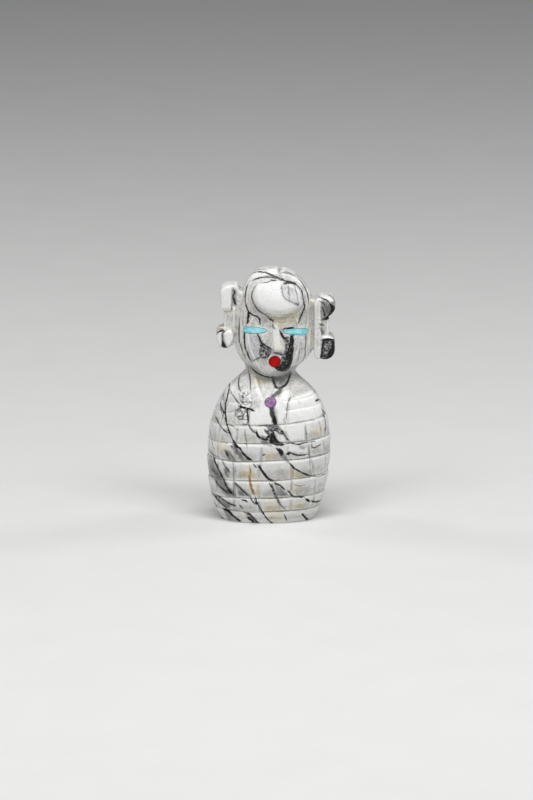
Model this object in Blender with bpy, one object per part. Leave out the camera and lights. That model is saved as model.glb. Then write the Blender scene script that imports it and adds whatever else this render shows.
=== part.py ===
"""A small standing figure carved from one stone, with four inlaid pieces.

Z is up, the figure faces -Y, and its flat underside lies on z = 0.
Carved shapes are given in shares of the figure's height. Sizes of fitted pieces are in metres.
"""

import math

import bmesh
import bpy
import numpy as np

FIGURE_HEIGHT = 0.057

# Inlays and their sockets
INLAY_SIDE_GAP = 0.0001
INLAY_FLOOR_GAP = 0.00025
INLAY_DEPTH = 0.0010
INLAY_PROUD = 0.00008
MOUTH_DIAMETER = 0.0026
CHEST_DOT_DIAMETER = 0.0025
EYE_THICKNESS = 0.0014
EYE_SOCKET_OPENING = 0.0008
DOT_SOCKET_OPENING = 0.0012
DOT_DOME = 0.0001

# Carved grooves, in shares of the height
ROW_GROOVE_DEPTH = 0.0065
ROW_GROOVE_HALF_WIDTH = 0.0065
COLUMN_GROOVE_DEPTH = 0.0035
COLUMN_GROOVE_HALF_ANGLE = math.radians(1.6)
KERNEL_COLUMNS = 15
KERNEL_PITCH = 2 * math.pi / KERNEL_COLUMNS
FIRST_COLUMN = math.radians(-6.3) - 7 * KERNEL_PITCH

# The smooth panel on the chest lies between these angles, above this row
BIB_LEFT_COLUMN = 6
BIB_LEFT = FIRST_COLUMN + (BIB_LEFT_COLUMN + 0.5) * KERNEL_PITCH
BIB_RIGHT = FIRST_COLUMN + 8 * KERNEL_PITCH
BIB_FIRST_ROW = 5

# The columns spread towards the foot: gain with height below a level, and its least and most
SPREAD_LEVEL = 0.25
RIGHT_SPREAD = (1.9, -0.15, 0.33)
LEFT_SPREAD = (0.9, 0.0, 0.16)
SPREAD_FADE = math.radians(40)
SPREAD_END = math.radians(112)
SPREAD_STEPS = 12

# Height and sideways slope of each groove between rows of kernels
ROWS = (
    (0.0509, 0.010),
    (0.1070, 0.025),
    (0.1807, 0.040),
    (0.2596, 0.035),
    (0.3298, 0.035),
    (0.4018, 0.055),
    (0.4509, 0.060),
    (0.4877, 0.060),
)

# A row taller than this gets a ring of points at its middle
TALL_ROW = 0.073

# The upper rows fade out on the left shoulder: how strong each row is there, and elsewhere
ROW_STRENGTHS = (
    (1.0, 1.0),
    (1.0, 1.0),
    (1.0, 1.0),
    (1.0, 1.0),
    (0.4, 1.0),
    (0.08, 0.75),
    (0.0, 0.4),
    (0.0, 0.45),
)
LEFT_FADE = math.radians(-27)

# Height, half width, front depth, back depth and sideways drift of the sections
SECTIONS = (
    (0.0000, 0.1886, 0.1386, 0.1386, 0.0000),
    (0.0377, 0.2035, 0.1491, 0.1491, 0.0021),
    (0.1018, 0.2211, 0.1632, 0.1632, 0.0026),
    (0.1667, 0.2316, 0.1719, 0.1702, 0.0053),
    (0.2632, 0.2386, 0.1772, 0.1754, 0.0079),
    (0.3439, 0.2351, 0.1746, 0.1719, 0.0079),
    (0.3912, 0.2263, 0.1684, 0.1649, 0.0070),
    (0.4246, 0.2158, 0.1614, 0.1579, 0.0053),
    (0.4561, 0.2018, 0.1526, 0.1474, 0.0039),
    (0.4877, 0.1851, 0.1404, 0.1351, 0.0035),
    (0.5211, 0.1614, 0.1175, 0.1158, 0.0039),
    (0.5526, 0.1290, 0.0900, 0.0950, 0.0058),
    (0.5719, 0.1085, 0.0780, 0.0860, 0.0085),
    (0.5842, 0.0995, 0.0800, 0.0830, 0.0115),
    (0.5947, 0.0990, 0.1035, 0.0840, 0.0150),
    (0.6088, 0.1055, 0.1193, 0.0900, 0.0200),
    (0.6333, 0.1281, 0.1263, 0.1053, 0.0249),
    (0.6649, 0.1474, 0.1298, 0.1211, 0.0272),
    (0.6982, 0.1535, 0.1316, 0.1316, 0.0272),
    (0.7456, 0.1518, 0.1298, 0.1404, 0.0281),
    (0.8263, 0.1456, 0.1228, 0.1439, 0.0333),
    (0.8737, 0.1404, 0.1246, 0.1386, 0.0395),
    (0.9070, 0.1325, 0.1193, 0.1180, 0.0395),
    (0.9386, 0.1160, 0.1053, 0.0970, 0.0350),
    (0.9684, 0.0900, 0.0845, 0.0700, 0.0325),
    (0.9877, 0.0630, 0.0616, 0.0450, 0.0305),
    (0.9974, 0.0320, 0.0333, 0.0200, 0.0290),
    (1.0000, 0.0000, 0.0000, 0.0000, 0.0280),
)
BODY_EXPONENT = 2.25
HEAD_EXPONENT = 2.1
HEAD_SLOPE = -0.055
JAW_LIFT = 0.056

# Face features: centre across from the head's middle line, and height
NOSE_TIP = (0.0130, 0.695)
NOSE_BRIDGE_HEIGHT = 0.785
NOSE_RISE = 0.021
BROW_DOME = (0.0050, 0.897)
BROW_DOME_HALF = (0.103, 0.073)
BROW_DOME_RISE = 0.021
MOUTH = (0.0042, 0.6454)
CHEST_DOT = (0.0099, 0.4877)
LEFT_EYE = (-0.1200, 0.7592, -0.0300, 0.7672)
RIGHT_EYE = (0.0340, 0.7678, 0.1290, 0.7634)

# An eye sliver's thickness along its length, from the outer end to the pointed inner end
EYE_PROFILE = (
    (0.0, 0.32),
    (0.04, 0.72),
    (0.14, 0.95),
    (0.35, 1.0),
    (0.60, 0.97),
    (0.80, 0.80),
    (0.92, 0.52),
    (1.0, 0.16),
)

# The parting in the hair, the jaw's rim, and the opening below the throat
PART_LINE = 0.022
PART_LINE_DEPTH = 0.009
PART_LINE_HALF_WIDTH = 0.016
JAW_HEIGHT = 0.735
JAW_HALF = (0.098, 0.150)
CHEEK_DEPTH = 0.006
NECK_OPENING_DEPTH = 0.0055

# Hair whorls, side by side: name, outline across and up, front, back and bevel
WHORL_BLOCKS = {
    "left": (
        (
            "web",
            (
                (-0.1456, 0.6947), (-0.0912, 0.6842), (-0.0912, 0.9060), (-0.1065, 0.9060),
                (-0.1110, 0.9210), (-0.1180, 0.9310), (-0.1456, 0.9310),
            ),
            -0.0421,
            0.0526,
            0.0079,
        ),
        (
            "upper",
            (
                (-0.1816, 0.8439), (-0.1702, 0.8333), (-0.1386, 0.8351), (-0.1386, 0.9298),
                (-0.1509, 0.9316), (-0.1702, 0.9246), (-0.1816, 0.9123),
            ),
            -0.0579,
            0.0491,
            0.0105,
        ),
        (
            "waist",
            (
                (-0.1684, 0.7368), (-0.1228, 0.7368), (-0.1228, 0.8456), (-0.1684, 0.8456),
            ),
            -0.0491,
            0.0439,
            0.0061,
        ),
        (
            "core",
            (
                (-0.1965, 0.7018), (-0.1860, 0.6877), (-0.1684, 0.6800), (-0.1456, 0.6835),
                (-0.1330, 0.6982), (-0.1330, 0.7500), (-0.1649, 0.7520), (-0.1860, 0.7480),
                (-0.1965, 0.7368),
            ),
            -0.0440,
            0.0491,
            0.0090,
        ),
        (
            "curl",
            (
                (-0.1987, 0.7422), (-0.1940, 0.7542), (-0.1803, 0.7639), (-0.1665, 0.7655),
                (-0.1646, 0.7540), (-0.1765, 0.7440), (-0.1763, 0.6959), (-0.1822, 0.6870),
                (-0.1912, 0.6905), (-0.1970, 0.7140),
            ),
            -0.0560,
            0.0300,
            0.0030,
        ),
        (
            "lobe",
            (
                (-0.1701, 0.7430), (-0.1587, 0.7534), (-0.1411, 0.7542), (-0.1301, 0.7422),
                (-0.1317, 0.7180), (-0.1411, 0.6999), (-0.1513, 0.6890), (-0.1607, 0.6987),
                (-0.1677, 0.7160),
            ),
            -0.0590,
            0.0400,
            0.0085,
        ),
    ),
    "right": (
        (
            "web",
            (
                (0.1404, 0.6825), (0.1912, 0.6719), (0.1912, 0.8702), (0.1404, 0.8877),
            ),
            -0.0421,
            0.0456,
            0.0070,
        ),
        (
            "strip",
            (
                (0.1842, 0.6526), (0.1965, 0.6368), (0.2132, 0.6421), (0.2132, 0.8754),
                (0.1982, 0.8842), (0.1842, 0.8667),
            ),
            -0.0614,
            0.0491,
            0.0088,
        ),
        (
            "upper",
            (
                (0.1930, 0.8000), (0.2228, 0.8000), (0.2509, 0.8140), (0.2667, 0.8351),
                (0.2684, 0.8614), (0.2509, 0.8842), (0.2088, 0.8877), (0.1930, 0.8772),
            ),
            -0.0526,
            0.0456,
            0.0105,
        ),
        (
            "waist",
            (
                (0.1860, 0.7193), (0.2421, 0.7193), (0.2421, 0.8158), (0.1860, 0.8158),
            ),
            -0.0421,
            0.0386,
            0.0061,
        ),
        (
            "lower",
            (
                (0.2088, 0.6386), (0.2351, 0.6368), (0.2544, 0.6456), (0.2658, 0.6649),
                (0.2649, 0.7140), (0.2509, 0.7298), (0.2088, 0.7333),
            ),
            -0.0561,
            0.0491,
            0.0105,
        ),
    ),
}


def smooth_step(low, high, value):
    t = np.clip((value - low) / (high - low), 0.0, 1.0)
    return t * t * (3 - 2 * t)


def groove(distance, half_width):
    return np.clip(1 - np.abs(distance) / half_width, 0.0, 1.0)


def bump(distance, half_width):
    t = np.clip(np.abs(distance) / half_width, 0.0, 1.0)
    return (1 - t * t) ** 2


def section_tables():
    """The sections joined by a smooth curve, sampled finely along their length."""
    points = np.array(SECTIONS)
    steps = np.linalg.norm(np.diff(points[:, :3], axis=0), axis=1)
    places = np.concatenate([[0.0], np.cumsum(steps)])
    slopes = np.gradient(points, places, axis=0)
    fine = np.linspace(0.0, places[-1], 1600)
    index = np.clip(np.searchsorted(places, fine, side="right") - 1, 0, len(places) - 2)
    span = places[index + 1] - places[index]
    t = ((fine - places[index]) / span)[:, None]
    span = span[:, None]
    start, end = points[index], points[index + 1]
    out = (2 * t**3 - 3 * t**2 + 1) * start + (3 * t**2 - 2 * t**3) * end
    out += (t**3 - 2 * t**2 + t) * span * slopes[index]
    out += (t**3 - t**2) * span * slopes[index + 1]
    out[:, 0] = np.maximum.accumulate(out[:, 0])
    out[:, 1:4] = np.maximum(out[:, 1:4], 0.0)
    return out


TABLE = section_tables()


def section_at(level):
    """Half width, front depth, back depth and drift at a height, in shares."""
    return [np.interp(level, TABLE[:, 0], TABLE[:, k]) for k in range(1, 5)]


def slope_at(level):
    """How far the carving tilts sideways at a height."""
    heights = [0.0] + [row[0] for row in ROWS] + [0.56, 0.64, 1.0]
    slopes = [0.0] + [row[1] for row in ROWS] + [0.0, HEAD_SLOPE, HEAD_SLOPE]
    return np.interp(level, heights, slopes)


def form(angle, level):
    """The plain carved form before any relief, as x, y, z in shares of the height."""
    _, front, back, _ = section_at(level)
    neck = smooth_step(0.52, 0.585, level) * (1 - smooth_step(0.63, 0.74, level))
    height = level + JAW_LIFT * neck * np.sin(angle) ** 2
    half, _, _, drift = section_at(height)
    exponent = BODY_EXPONENT + (HEAD_EXPONENT - BODY_EXPONENT) * smooth_step(0.5, 0.62, level)
    sine, cosine = np.sin(angle), np.cos(angle)
    across = half * np.sign(sine) * np.abs(sine) ** (2 / exponent)
    depth = np.where(cosine >= 0, front, back)
    y = -depth * np.sign(cosine) * np.abs(cosine) ** (2 / exponent)
    return across + drift, y, height + slope_at(level) * across, across


def angle_across(across, level):
    """The angle at which the head's or chest's front lies this far from the middle."""
    half = section_at(level)[0]
    exponent = BODY_EXPONENT + (HEAD_EXPONENT - BODY_EXPONENT) * smooth_step(0.5, 0.62, level)
    share = np.clip(np.abs(across) / half, 0.0, 0.999)
    return np.sign(across) * np.arcsin(share ** (exponent / 2))


def column_spread(turned, level):
    """How much wider than evenly the columns stand at an angle from the front."""
    right = np.clip(RIGHT_SPREAD[0] * (SPREAD_LEVEL - level), *RIGHT_SPREAD[1:])
    left = np.clip(LEFT_SPREAD[0] * (SPREAD_LEVEL - level), *LEFT_SPREAD[1:])
    behind = smooth_step(SPREAD_FADE, SPREAD_END, np.abs(turned))
    return np.where(turned > 0, right, left) * (1 - behind)


def even_angle(angle, level):
    """The angle at which a place would lie if the columns stood evenly round the body."""
    turned = (angle + math.pi) % (2 * math.pi) - math.pi
    return angle - turned + turned / (1 + column_spread(turned, level))


def row_strength(number, angle):
    """How strongly a row's groove is cut: it fades on the left shoulder and returns behind."""
    turned = (angle + math.pi) % (2 * math.pi) - math.pi
    left, right = ROW_STRENGTHS[number]
    behind = 1 - smooth_step(-2.75, -2.2, turned)
    front = smooth_step(LEFT_FADE - 0.25, LEFT_FADE, turned)
    return left + (right - left) * np.maximum(front, behind)


def row_relief(angle, level):
    depth = np.zeros_like(level)
    even = even_angle(angle, level)
    panel = (even > BIB_LEFT - 0.001) & (even < BIB_RIGHT + 0.001)
    for number, (height, _) in enumerate(ROWS):
        line = groove(level - height, ROW_GROOVE_HALF_WIDTH)
        cut = ROW_GROOVE_DEPTH * row_strength(number, angle) * line
        depth = depth + np.where(panel & (number > BIB_FIRST_ROW), 0.0, cut)
    return depth


def column_relief(angle, level):
    depth = np.zeros_like(level)
    angle = even_angle(angle, level)
    low, high = ROWS[0][0], ROWS[-1][0]
    band = (level > low - 0.001) & (level < high + 0.001)
    above = level > ROWS[BIB_FIRST_ROW][0] + 0.001
    for number in range(KERNEL_COLUMNS):
        place = FIRST_COLUMN + number * KERNEL_PITCH
        off = (angle - place + math.pi) % (2 * math.pi) - math.pi
        cut = COLUMN_GROOVE_DEPTH * groove(off, COLUMN_GROOVE_HALF_ANGLE)
        inside = above & (place > BIB_LEFT) & (place < BIB_RIGHT - 0.01)
        depth = depth + np.where(band & ~inside, cut, 0.0)
    left_edge = COLUMN_GROOVE_DEPTH * groove(angle - BIB_LEFT, COLUMN_GROOVE_HALF_ANGLE)
    return depth + np.where(above & (level < high + 0.001), left_edge, 0.0)


def face_relief(across, level, front):
    """How far the face's features stand forward of the plain form."""
    rise = NOSE_BRIDGE_HEIGHT - NOSE_TIP[1]
    up = np.clip((level - NOSE_TIP[1]) / rise, 0.0, 1.0)
    middle = NOSE_TIP[0] * (1 - 0.6 * up)
    width = 0.040 - 0.016 * up
    under = smooth_step(NOSE_TIP[1] - 0.016, NOSE_TIP[1] + 0.004, level)
    top = 1 - smooth_step(NOSE_BRIDGE_HEIGHT - 0.01, NOSE_BRIDGE_HEIGHT + 0.03, level)
    nose = NOSE_RISE * bump(across - middle, width) * under * top * (1 - 0.55 * up)
    off = ((across - BROW_DOME[0]) / BROW_DOME_HALF[0]) ** 2
    off += ((level - BROW_DOME[1]) / BROW_DOME_HALF[1]) ** 2
    crisp = 1 - smooth_step(0.76, 1.08, off)
    sloping = 1 - smooth_step(0.30, 1.20, off)
    below = smooth_step(0.01, 0.05, BROW_DOME[1] - level)
    dome = BROW_DOME_RISE * (crisp + (sloping - crisp) * below) * (1.0 - 0.12 * off)
    jaw = np.sqrt((across / JAW_HALF[0]) ** 2 + ((level - JAW_HEIGHT) / JAW_HALF[1]) ** 2)
    lower = 1 - smooth_step(0.79, 0.85, level)
    cheeks = -CHEEK_DEPTH * (1 - smooth_step(0.93, 1.03, jaw)) * lower * smooth_step(0.57, 0.60, level)
    on_head = smooth_step(0.575, 0.60, level)
    return (nose + dome + cheeks) * front * on_head


def neck_opening(across, level, front):
    """The shallow opening between the two sides of the collar."""
    up = np.clip((level - CHEST_DOT[1]) / 0.09, 0.0, 1.0)
    width = 0.008 + 0.042 * up
    inside = 1 - smooth_step(width - 0.006, width + 0.004, np.abs(across + 0.006 * up))
    band = smooth_step(CHEST_DOT[1], CHEST_DOT[1] + 0.014, level) * (1 - smooth_step(0.565, 0.58, level))
    return NECK_OPENING_DEPTH * inside * band * front


def skin(angle, level):
    """Points of the finished surface, in metres."""
    x, y, z, across = form(angle, level)
    e = 1e-4
    xa, ya, za, _ = form(angle + e, level)
    xb, yb, zb, _ = form(angle - e, level)
    xc, yc, zc, _ = form(angle, np.minimum(level + e, 1.0))
    xd, yd, zd, _ = form(angle, np.maximum(level - e, 0.0))
    around = np.stack([xa - xb, ya - yb, za - zb], axis=-1)
    upward = np.stack([xc - xd, yc - yd, zc - zd], axis=-1)
    normal = np.cross(around, upward)
    length = np.linalg.norm(normal, axis=-1, keepdims=True)
    normal = normal / np.maximum(length, 1e-12)
    cut = row_relief(angle, level) + column_relief(angle, level)
    line = groove(across - PART_LINE, PART_LINE_HALF_WIDTH)
    cut = cut + PART_LINE_DEPTH * line * smooth_step(0.955, 0.975, level)
    front = smooth_step(0.0, 0.35, np.cos(angle))
    cut = cut + neck_opening(across, level, front)
    points = np.stack([x, y, z], axis=-1) - normal * cut[..., None]
    points[..., 1] -= face_relief(across, level, front)
    return points * FIGURE_HEIGHT


def skin_normal(angle, level):
    e = 2e-3
    around = skin(angle + e, level) - skin(angle - e, level)
    upward = skin(angle, level + e) - skin(angle, level - e)
    normal = np.cross(around, upward)
    return normal / np.linalg.norm(normal, axis=-1, keepdims=True)


def body_angles():
    lip = COLUMN_GROOVE_HALF_ANGLE
    angles = []
    for number in range(KERNEL_COLUMNS):
        start = FIRST_COLUMN + number * KERNEL_PITCH
        middle = start + KERNEL_PITCH / 2
        angles += [start - lip, start, start + lip]
        angles += [middle - lip, middle, middle + lip] if number == BIB_LEFT_COLUMN else [middle]
    return np.array(angles)


def head_angles(count, middle):
    """As many angles as the body has, closest together across the face."""
    fine = np.linspace(-math.pi, math.pi, 4001)
    density = 0.62 + 1.5 * np.exp(-((fine / 0.95) ** 4))
    total = np.concatenate([[0.0], np.cumsum((density[1:] + density[:-1]) / 2)])
    total = total / total[-1] - 0.5
    share = (np.arange(count) - middle) / count
    wrapped = (share + 0.5) % 1.0 - 0.5
    turns = share - wrapped
    return np.interp(wrapped, total, fine) + turns * 2 * math.pi


def level_list():
    half = ROW_GROOVE_HALF_WIDTH
    levels = [0.004]
    for number, (height, _) in enumerate(ROWS):
        levels += [height - half, height, height + half]
        if number + 1 < len(ROWS) and ROWS[number + 1][0] - height > TALL_ROW:
            levels.append((height + ROWS[number + 1][0]) / 2)
    levels += [0.512, 0.532, 0.549, 0.561]
    levels += list(np.linspace(0.571, 0.612, 6))
    levels += list(np.linspace(0.625, 0.668, 4))
    levels += list(np.linspace(0.680, 0.706, 4))
    levels += list(np.linspace(0.722, 0.800, 5))
    levels += list(np.linspace(0.814, 0.848, 3))
    levels += list(np.linspace(0.868, 0.940, 5))
    start = np.searchsorted(TABLE[:, 0], 0.955)
    picked = np.linspace(start, len(TABLE) - 1, 6)[:-1]
    levels += list(TABLE[picked.astype(int), 0])
    return np.array(levels)


def new_object(name, mesh):
    item = bpy.data.objects.new(name, mesh)
    bpy.context.scene.collection.objects.link(item)
    return item


def mesh_from(builder, name, shaded_smooth):
    bmesh.ops.recalc_face_normals(builder, faces=builder.faces)
    mesh = bpy.data.meshes.new(name)
    builder.to_mesh(mesh)
    builder.free()
    for face in mesh.polygons:
        face.use_smooth = shaded_smooth
    return new_object(name, mesh)


def ring_mesh(builder, rings, close_top, close_bottom):
    """Joins closed rings of points by quads, and closes the ends."""
    made = [[builder.verts.new(point) for point in ring] for ring in rings]
    for low, high in zip(made, made[1:]):
        count = len(low)
        for k in range(count):
            following = (k + 1) % count
            builder.faces.new((low[k], low[following], high[following], high[k]))
    if close_bottom is not None:
        centre = builder.verts.new(close_bottom)
        for k in range(len(made[0])):
            builder.faces.new((made[0][(k + 1) % len(made[0])], made[0][k], centre))
    if close_top is not None:
        centre = builder.verts.new(close_top)
        for k in range(len(made[-1])):
            builder.faces.new((made[-1][k], made[-1][(k + 1) % len(made[-1])], centre))


def make_figure():
    low_angles = body_angles()
    middle = np.interp(0.0, low_angles, np.arange(len(low_angles)))
    high_angles = head_angles(len(low_angles), middle)
    levels = level_list()
    blend = smooth_step(0.495, 0.640, levels)[:, None]
    evenly = np.repeat(low_angles[None, :], len(levels), axis=0)
    spread = evenly
    for _ in range(SPREAD_STEPS):
        turned = (spread + math.pi) % (2 * math.pi) - math.pi
        spread = evenly + turned - turned / (1 + column_spread(turned, levels[:, None]))
    angles = spread * (1 - blend) + high_angles[None, :] * blend
    points = skin(angles, np.repeat(levels[:, None], angles.shape[1], axis=1))
    rim = points[0].copy()
    rim[:, :2] *= 0.985
    rim[:, 2] = 0.0
    builder = bmesh.new()
    top = skin(np.array([0.0]), np.array([0.99995]))[0]
    ring_mesh(builder, [rim] + list(points), tuple(top), (0.0, 0.0, 0.0))
    return mesh_from(builder, "stone_figure", True)


def make_block(name, outline, front, back, bevel):
    """One block of a whorl: its outline drawn from front to back, rounded in at both faces."""
    points = np.array(outline)
    middle = (points.max(axis=0) + points.min(axis=0)) / 2
    reach = (points.max(axis=0) - points.min(axis=0)) / 2
    rings = []
    for y, inset in (
        (front, bevel),
        (front + 0.3 * bevel, 0.3 * bevel),
        (front + bevel, 0.0),
        (back - bevel, 0.0),
        (back - 0.3 * bevel, 0.3 * bevel),
        (back, bevel),
    ):
        drawn = middle + (points - middle) * (1 - inset / reach)
        ring = np.stack([drawn[:, 0], np.full(len(drawn), y), drawn[:, 1]], axis=1)
        rings.append(ring * FIGURE_HEIGHT)
    builder = bmesh.new()
    ring_mesh(builder, rings, tuple(np.mean(rings[-1], axis=0)), tuple(np.mean(rings[0], axis=0)))
    return mesh_from(builder, name, False)


def eye_outline(eye, extra):
    """Angles and levels along an eye sliver's upper and lower edges, pointed at its inner end."""
    first, last = np.array(eye[:2]), np.array(eye[2:])
    along = last - first
    length = np.linalg.norm(along)
    grow = extra / FIGURE_HEIGHT
    first = first - along / length * grow
    last = last + along / length * grow
    inner_is_last = eye[0] < 0
    share, width = np.array(EYE_PROFILE).T
    if not inner_is_last:
        share, width = 1 - share[::-1], width[::-1]
    across = first[0] + (last[0] - first[0]) * share
    middle = first[1] + (last[1] - first[1]) * share
    half = EYE_THICKNESS / FIGURE_HEIGHT / 2 * width + grow
    return across, middle, half


def make_sliver(name, eye, extra, outward, inward):
    """A sliver that follows the skin: its outer face stands outward, its inner face lies inward."""
    across, middle, half = eye_outline(eye, extra)
    rings = []
    for place, height, reach in zip(across, middle, half):
        levels = height + reach * np.array([-1.0, 0.0, 1.0])
        angles = angle_across(np.full(3, place), levels)
        points = skin(angles, levels)
        normals = skin_normal(angles, levels)
        outer = points + normals * outward
        inner = points - normals * inward
        rings.append([outer[0], outer[1], outer[2], inner[2], inner[1], inner[0]])
    builder = bmesh.new()
    first = np.mean(rings[0], axis=0)
    last = np.mean(rings[-1], axis=0)
    ring_mesh(builder, rings, tuple(last), tuple(first))
    return mesh_from(builder, name, False)


def make_dot(name, place, radius, outward, inward, dome):
    """A round plug set square to the skin, with a slightly domed outer face."""
    level = np.array([place[1]])
    angle = angle_across(np.array([place[0]]), level)
    centre = skin(angle, level)[0]
    normal = skin_normal(angle, level)[0]
    side = np.cross(normal, [0.0, 0.0, 1.0])
    side /= np.linalg.norm(side)
    up = np.cross(side, normal)
    turns = np.linspace(0.0, 2 * math.pi, 28, endpoint=False)
    spokes = np.cos(turns)[:, None] * side + np.sin(turns)[:, None] * up
    rings = []
    for share, height in ((1.0, -inward), (1.0, outward), (0.6, outward + dome * 0.75)):
        rings.append(centre + normal * height + spokes * radius * share)
    builder = bmesh.new()
    top = centre + normal * (outward + dome)
    bottom = centre - normal * inward
    ring_mesh(builder, rings, tuple(top), tuple(bottom))
    return mesh_from(builder, name, True)


def material(name, colour, roughness):
    made = bpy.data.materials.new(name)
    made.use_nodes = True
    shader = made.node_tree.nodes["Principled BSDF"]
    shader.inputs["Base Color"].default_value = (*colour, 1.0)
    shader.inputs["Roughness"].default_value = roughness
    shader.inputs["Metallic"].default_value = 0.0
    made.diffuse_color = (*colour, 1.0)
    return made


def combine(target, other, operation):
    modifier = target.modifiers.new(other.name, "BOOLEAN")
    modifier.operation = operation
    modifier.solver = "EXACT"
    modifier.object = other
    other.hide_render = True
    other.display_type = "WIRE"


for leftover in list(bpy.data.objects):
    bpy.data.objects.remove(leftover, do_unlink=True)

figure = make_figure()
for side, blocks in WHORL_BLOCKS.items():
    for name, outline, front, back, bevel in blocks:
        combine(figure, make_block(f"whorl_{side}_{name}", outline, front, back, bevel), "UNION")

socket_depth = INLAY_DEPTH + INLAY_FLOOR_GAP
inlays = []
for name, eye in (("left_eye_inlay", LEFT_EYE), ("right_eye_inlay", RIGHT_EYE)):
    inlays.append(make_sliver(name, eye, 0.0, INLAY_PROUD, INLAY_DEPTH))
    socket = make_sliver(f"socket_{name}", eye, INLAY_SIDE_GAP, EYE_SOCKET_OPENING, socket_depth)
    combine(figure, socket, "DIFFERENCE")
for name, place, diameter in (
    ("mouth_inlay", MOUTH, MOUTH_DIAMETER),
    ("breast_inlay", CHEST_DOT, CHEST_DOT_DIAMETER),
):
    inlays.append(make_dot(name, place, diameter / 2, INLAY_PROUD, INLAY_DEPTH, DOT_DOME))
    socket_radius = diameter / 2 + INLAY_SIDE_GAP
    socket = make_dot(f"socket_{name}", place, socket_radius, DOT_SOCKET_OPENING, socket_depth, 0.0)
    combine(figure, socket, "DIFFERENCE")

figure.data.materials.append(material("polished_stone", (0.74, 0.72, 0.67), 0.28))
turquoise = material("turquoise", (0.25, 0.66, 0.68), 0.25)
for inlay, stuff in zip(
    inlays,
    (
        turquoise,
        turquoise.copy(),
        material("red_coral", (0.50, 0.012, 0.010), 0.22),
        material("purple_stone", (0.30, 0.12, 0.33), 0.25),
    ),
):
    inlay.data.materials.append(stuff)
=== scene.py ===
"""A small standing figure carved from veined white stone, with inlaid eyes, mouth and chest dot.

Z is up and the figure faces -Y. Lengths are in metres unless a name or a comment says otherwise.
Carved shapes are in shares of the figure's height. Veins and patches are placed by where the
photograph shows them, in its pixels, and then lie on the stone's own surface.
"""

import math
import random

import bpy
import numpy as np
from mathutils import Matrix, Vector, noise
from mathutils.bvhtree import BVHTree
from mathutils.kdtree import KDTree


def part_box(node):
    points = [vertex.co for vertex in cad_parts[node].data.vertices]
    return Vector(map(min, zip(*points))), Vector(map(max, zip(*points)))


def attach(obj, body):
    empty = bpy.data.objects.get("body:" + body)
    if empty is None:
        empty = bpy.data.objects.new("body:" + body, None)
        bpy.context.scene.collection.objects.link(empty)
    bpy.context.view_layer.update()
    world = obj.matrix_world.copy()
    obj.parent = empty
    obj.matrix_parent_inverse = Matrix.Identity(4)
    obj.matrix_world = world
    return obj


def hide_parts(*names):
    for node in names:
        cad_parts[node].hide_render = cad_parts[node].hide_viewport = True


MM = 0.001

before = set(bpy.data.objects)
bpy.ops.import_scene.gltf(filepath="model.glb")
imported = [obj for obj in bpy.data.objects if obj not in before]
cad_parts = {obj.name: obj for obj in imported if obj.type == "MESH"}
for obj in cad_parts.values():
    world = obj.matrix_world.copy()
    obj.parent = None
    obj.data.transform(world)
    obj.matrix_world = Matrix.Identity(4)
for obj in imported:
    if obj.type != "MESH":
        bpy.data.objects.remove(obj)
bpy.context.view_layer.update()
FIGURE_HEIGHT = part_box("stone_figure")[1].z

# The photograph's view, from the figure's front and a little above it
PHOTO_WIDTH = 533
PHOTO_HEIGHT = 800
PIXELS_PER_METRE = 4477.0
SENSOR_WIDTH_MM = 36.0
CLIP_RANGE = (0.01, 20.0)
CAMERA_ELEVATION = math.radians(13.0)
CAMERA_DISTANCE = 1.6
CAMERA_TARGET = Vector((-0.0001, 0.0, 0.02645))
CAMERA_RIGHT = Vector((1.0, 0.0, 0.0))
CAMERA_BACK = Vector((0.0, -math.cos(CAMERA_ELEVATION), math.sin(CAMERA_ELEVATION)))
CAMERA_UP = CAMERA_BACK.cross(CAMERA_RIGHT)
CAMERA_PLACE = CAMERA_TARGET + CAMERA_BACK * CAMERA_DISTANCE
FOCAL_PIXELS = PIXELS_PER_METRE * CAMERA_DISTANCE

# Lights: degrees round from the front, degrees up, distance, size and power
LIGHTS = {
    "key_softbox": (-38, 50, 0.60, 0.22, 0.88),
    "right_softbox": (46, 50, 0.60, 0.20, 0.86),
    "overhead": (5, 72, 0.75, 0.36, 3.3),
    "left_rim": (-118, 34, 0.60, 0.14, 0.50),
    "right_rim": (112, 36, 0.60, 0.14, 0.50),
}
SKY_COLOUR = (0.95, 0.97, 1.0, 1.0)
SKY_STRENGTH = 0.10
FLOOR_SIZE = 12.0

# Inlays
INLAY_SIDE_GAP = 0.0001
INLAY_FLOOR_GAP = 0.00025
INLAY_DEPTH = 0.0010
INLAY_PROUD = 0.00008
EYE_THICKNESS = 0.0014
EYE_OPENING = 0.0008
MOUTH_DIAMETER = 0.0026
CHEST_DOT_DIAMETER = 0.0025
DOT_OPENING = 0.0012
DOT_ROUNDING = 0.00018
DOT_SIDES = 72

# Where the inlays are, across and up: the dots' centres, and the slivers' two ends
MOUTH = (0.0042, 0.6454)
CHEST_DOT = (0.0099, 0.4877)
LEFT_EYE = (-0.1200, 0.7592, -0.0300, 0.7672)
RIGHT_EYE = (0.0340, 0.7678, 0.1290, 0.7634)

# An eye sliver's thickness along its length, from its blunt outer end to its pointed inner end
EYE_PROFILE = (
    (0.0, 0.0), (0.01, 0.45), (0.035, 0.72), (0.08, 0.86), (0.16, 0.94), (0.35, 0.98),
    (0.55, 0.94), (0.72, 0.80), (0.85, 0.60), (0.94, 0.36), (0.985, 0.16), (1.0, 0.0),
)
EYE_FULLNESS_UP = 0.7
EYE_FULLNESS_OUT = 0.45
EYE_EVENNESS = 0.45

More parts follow.
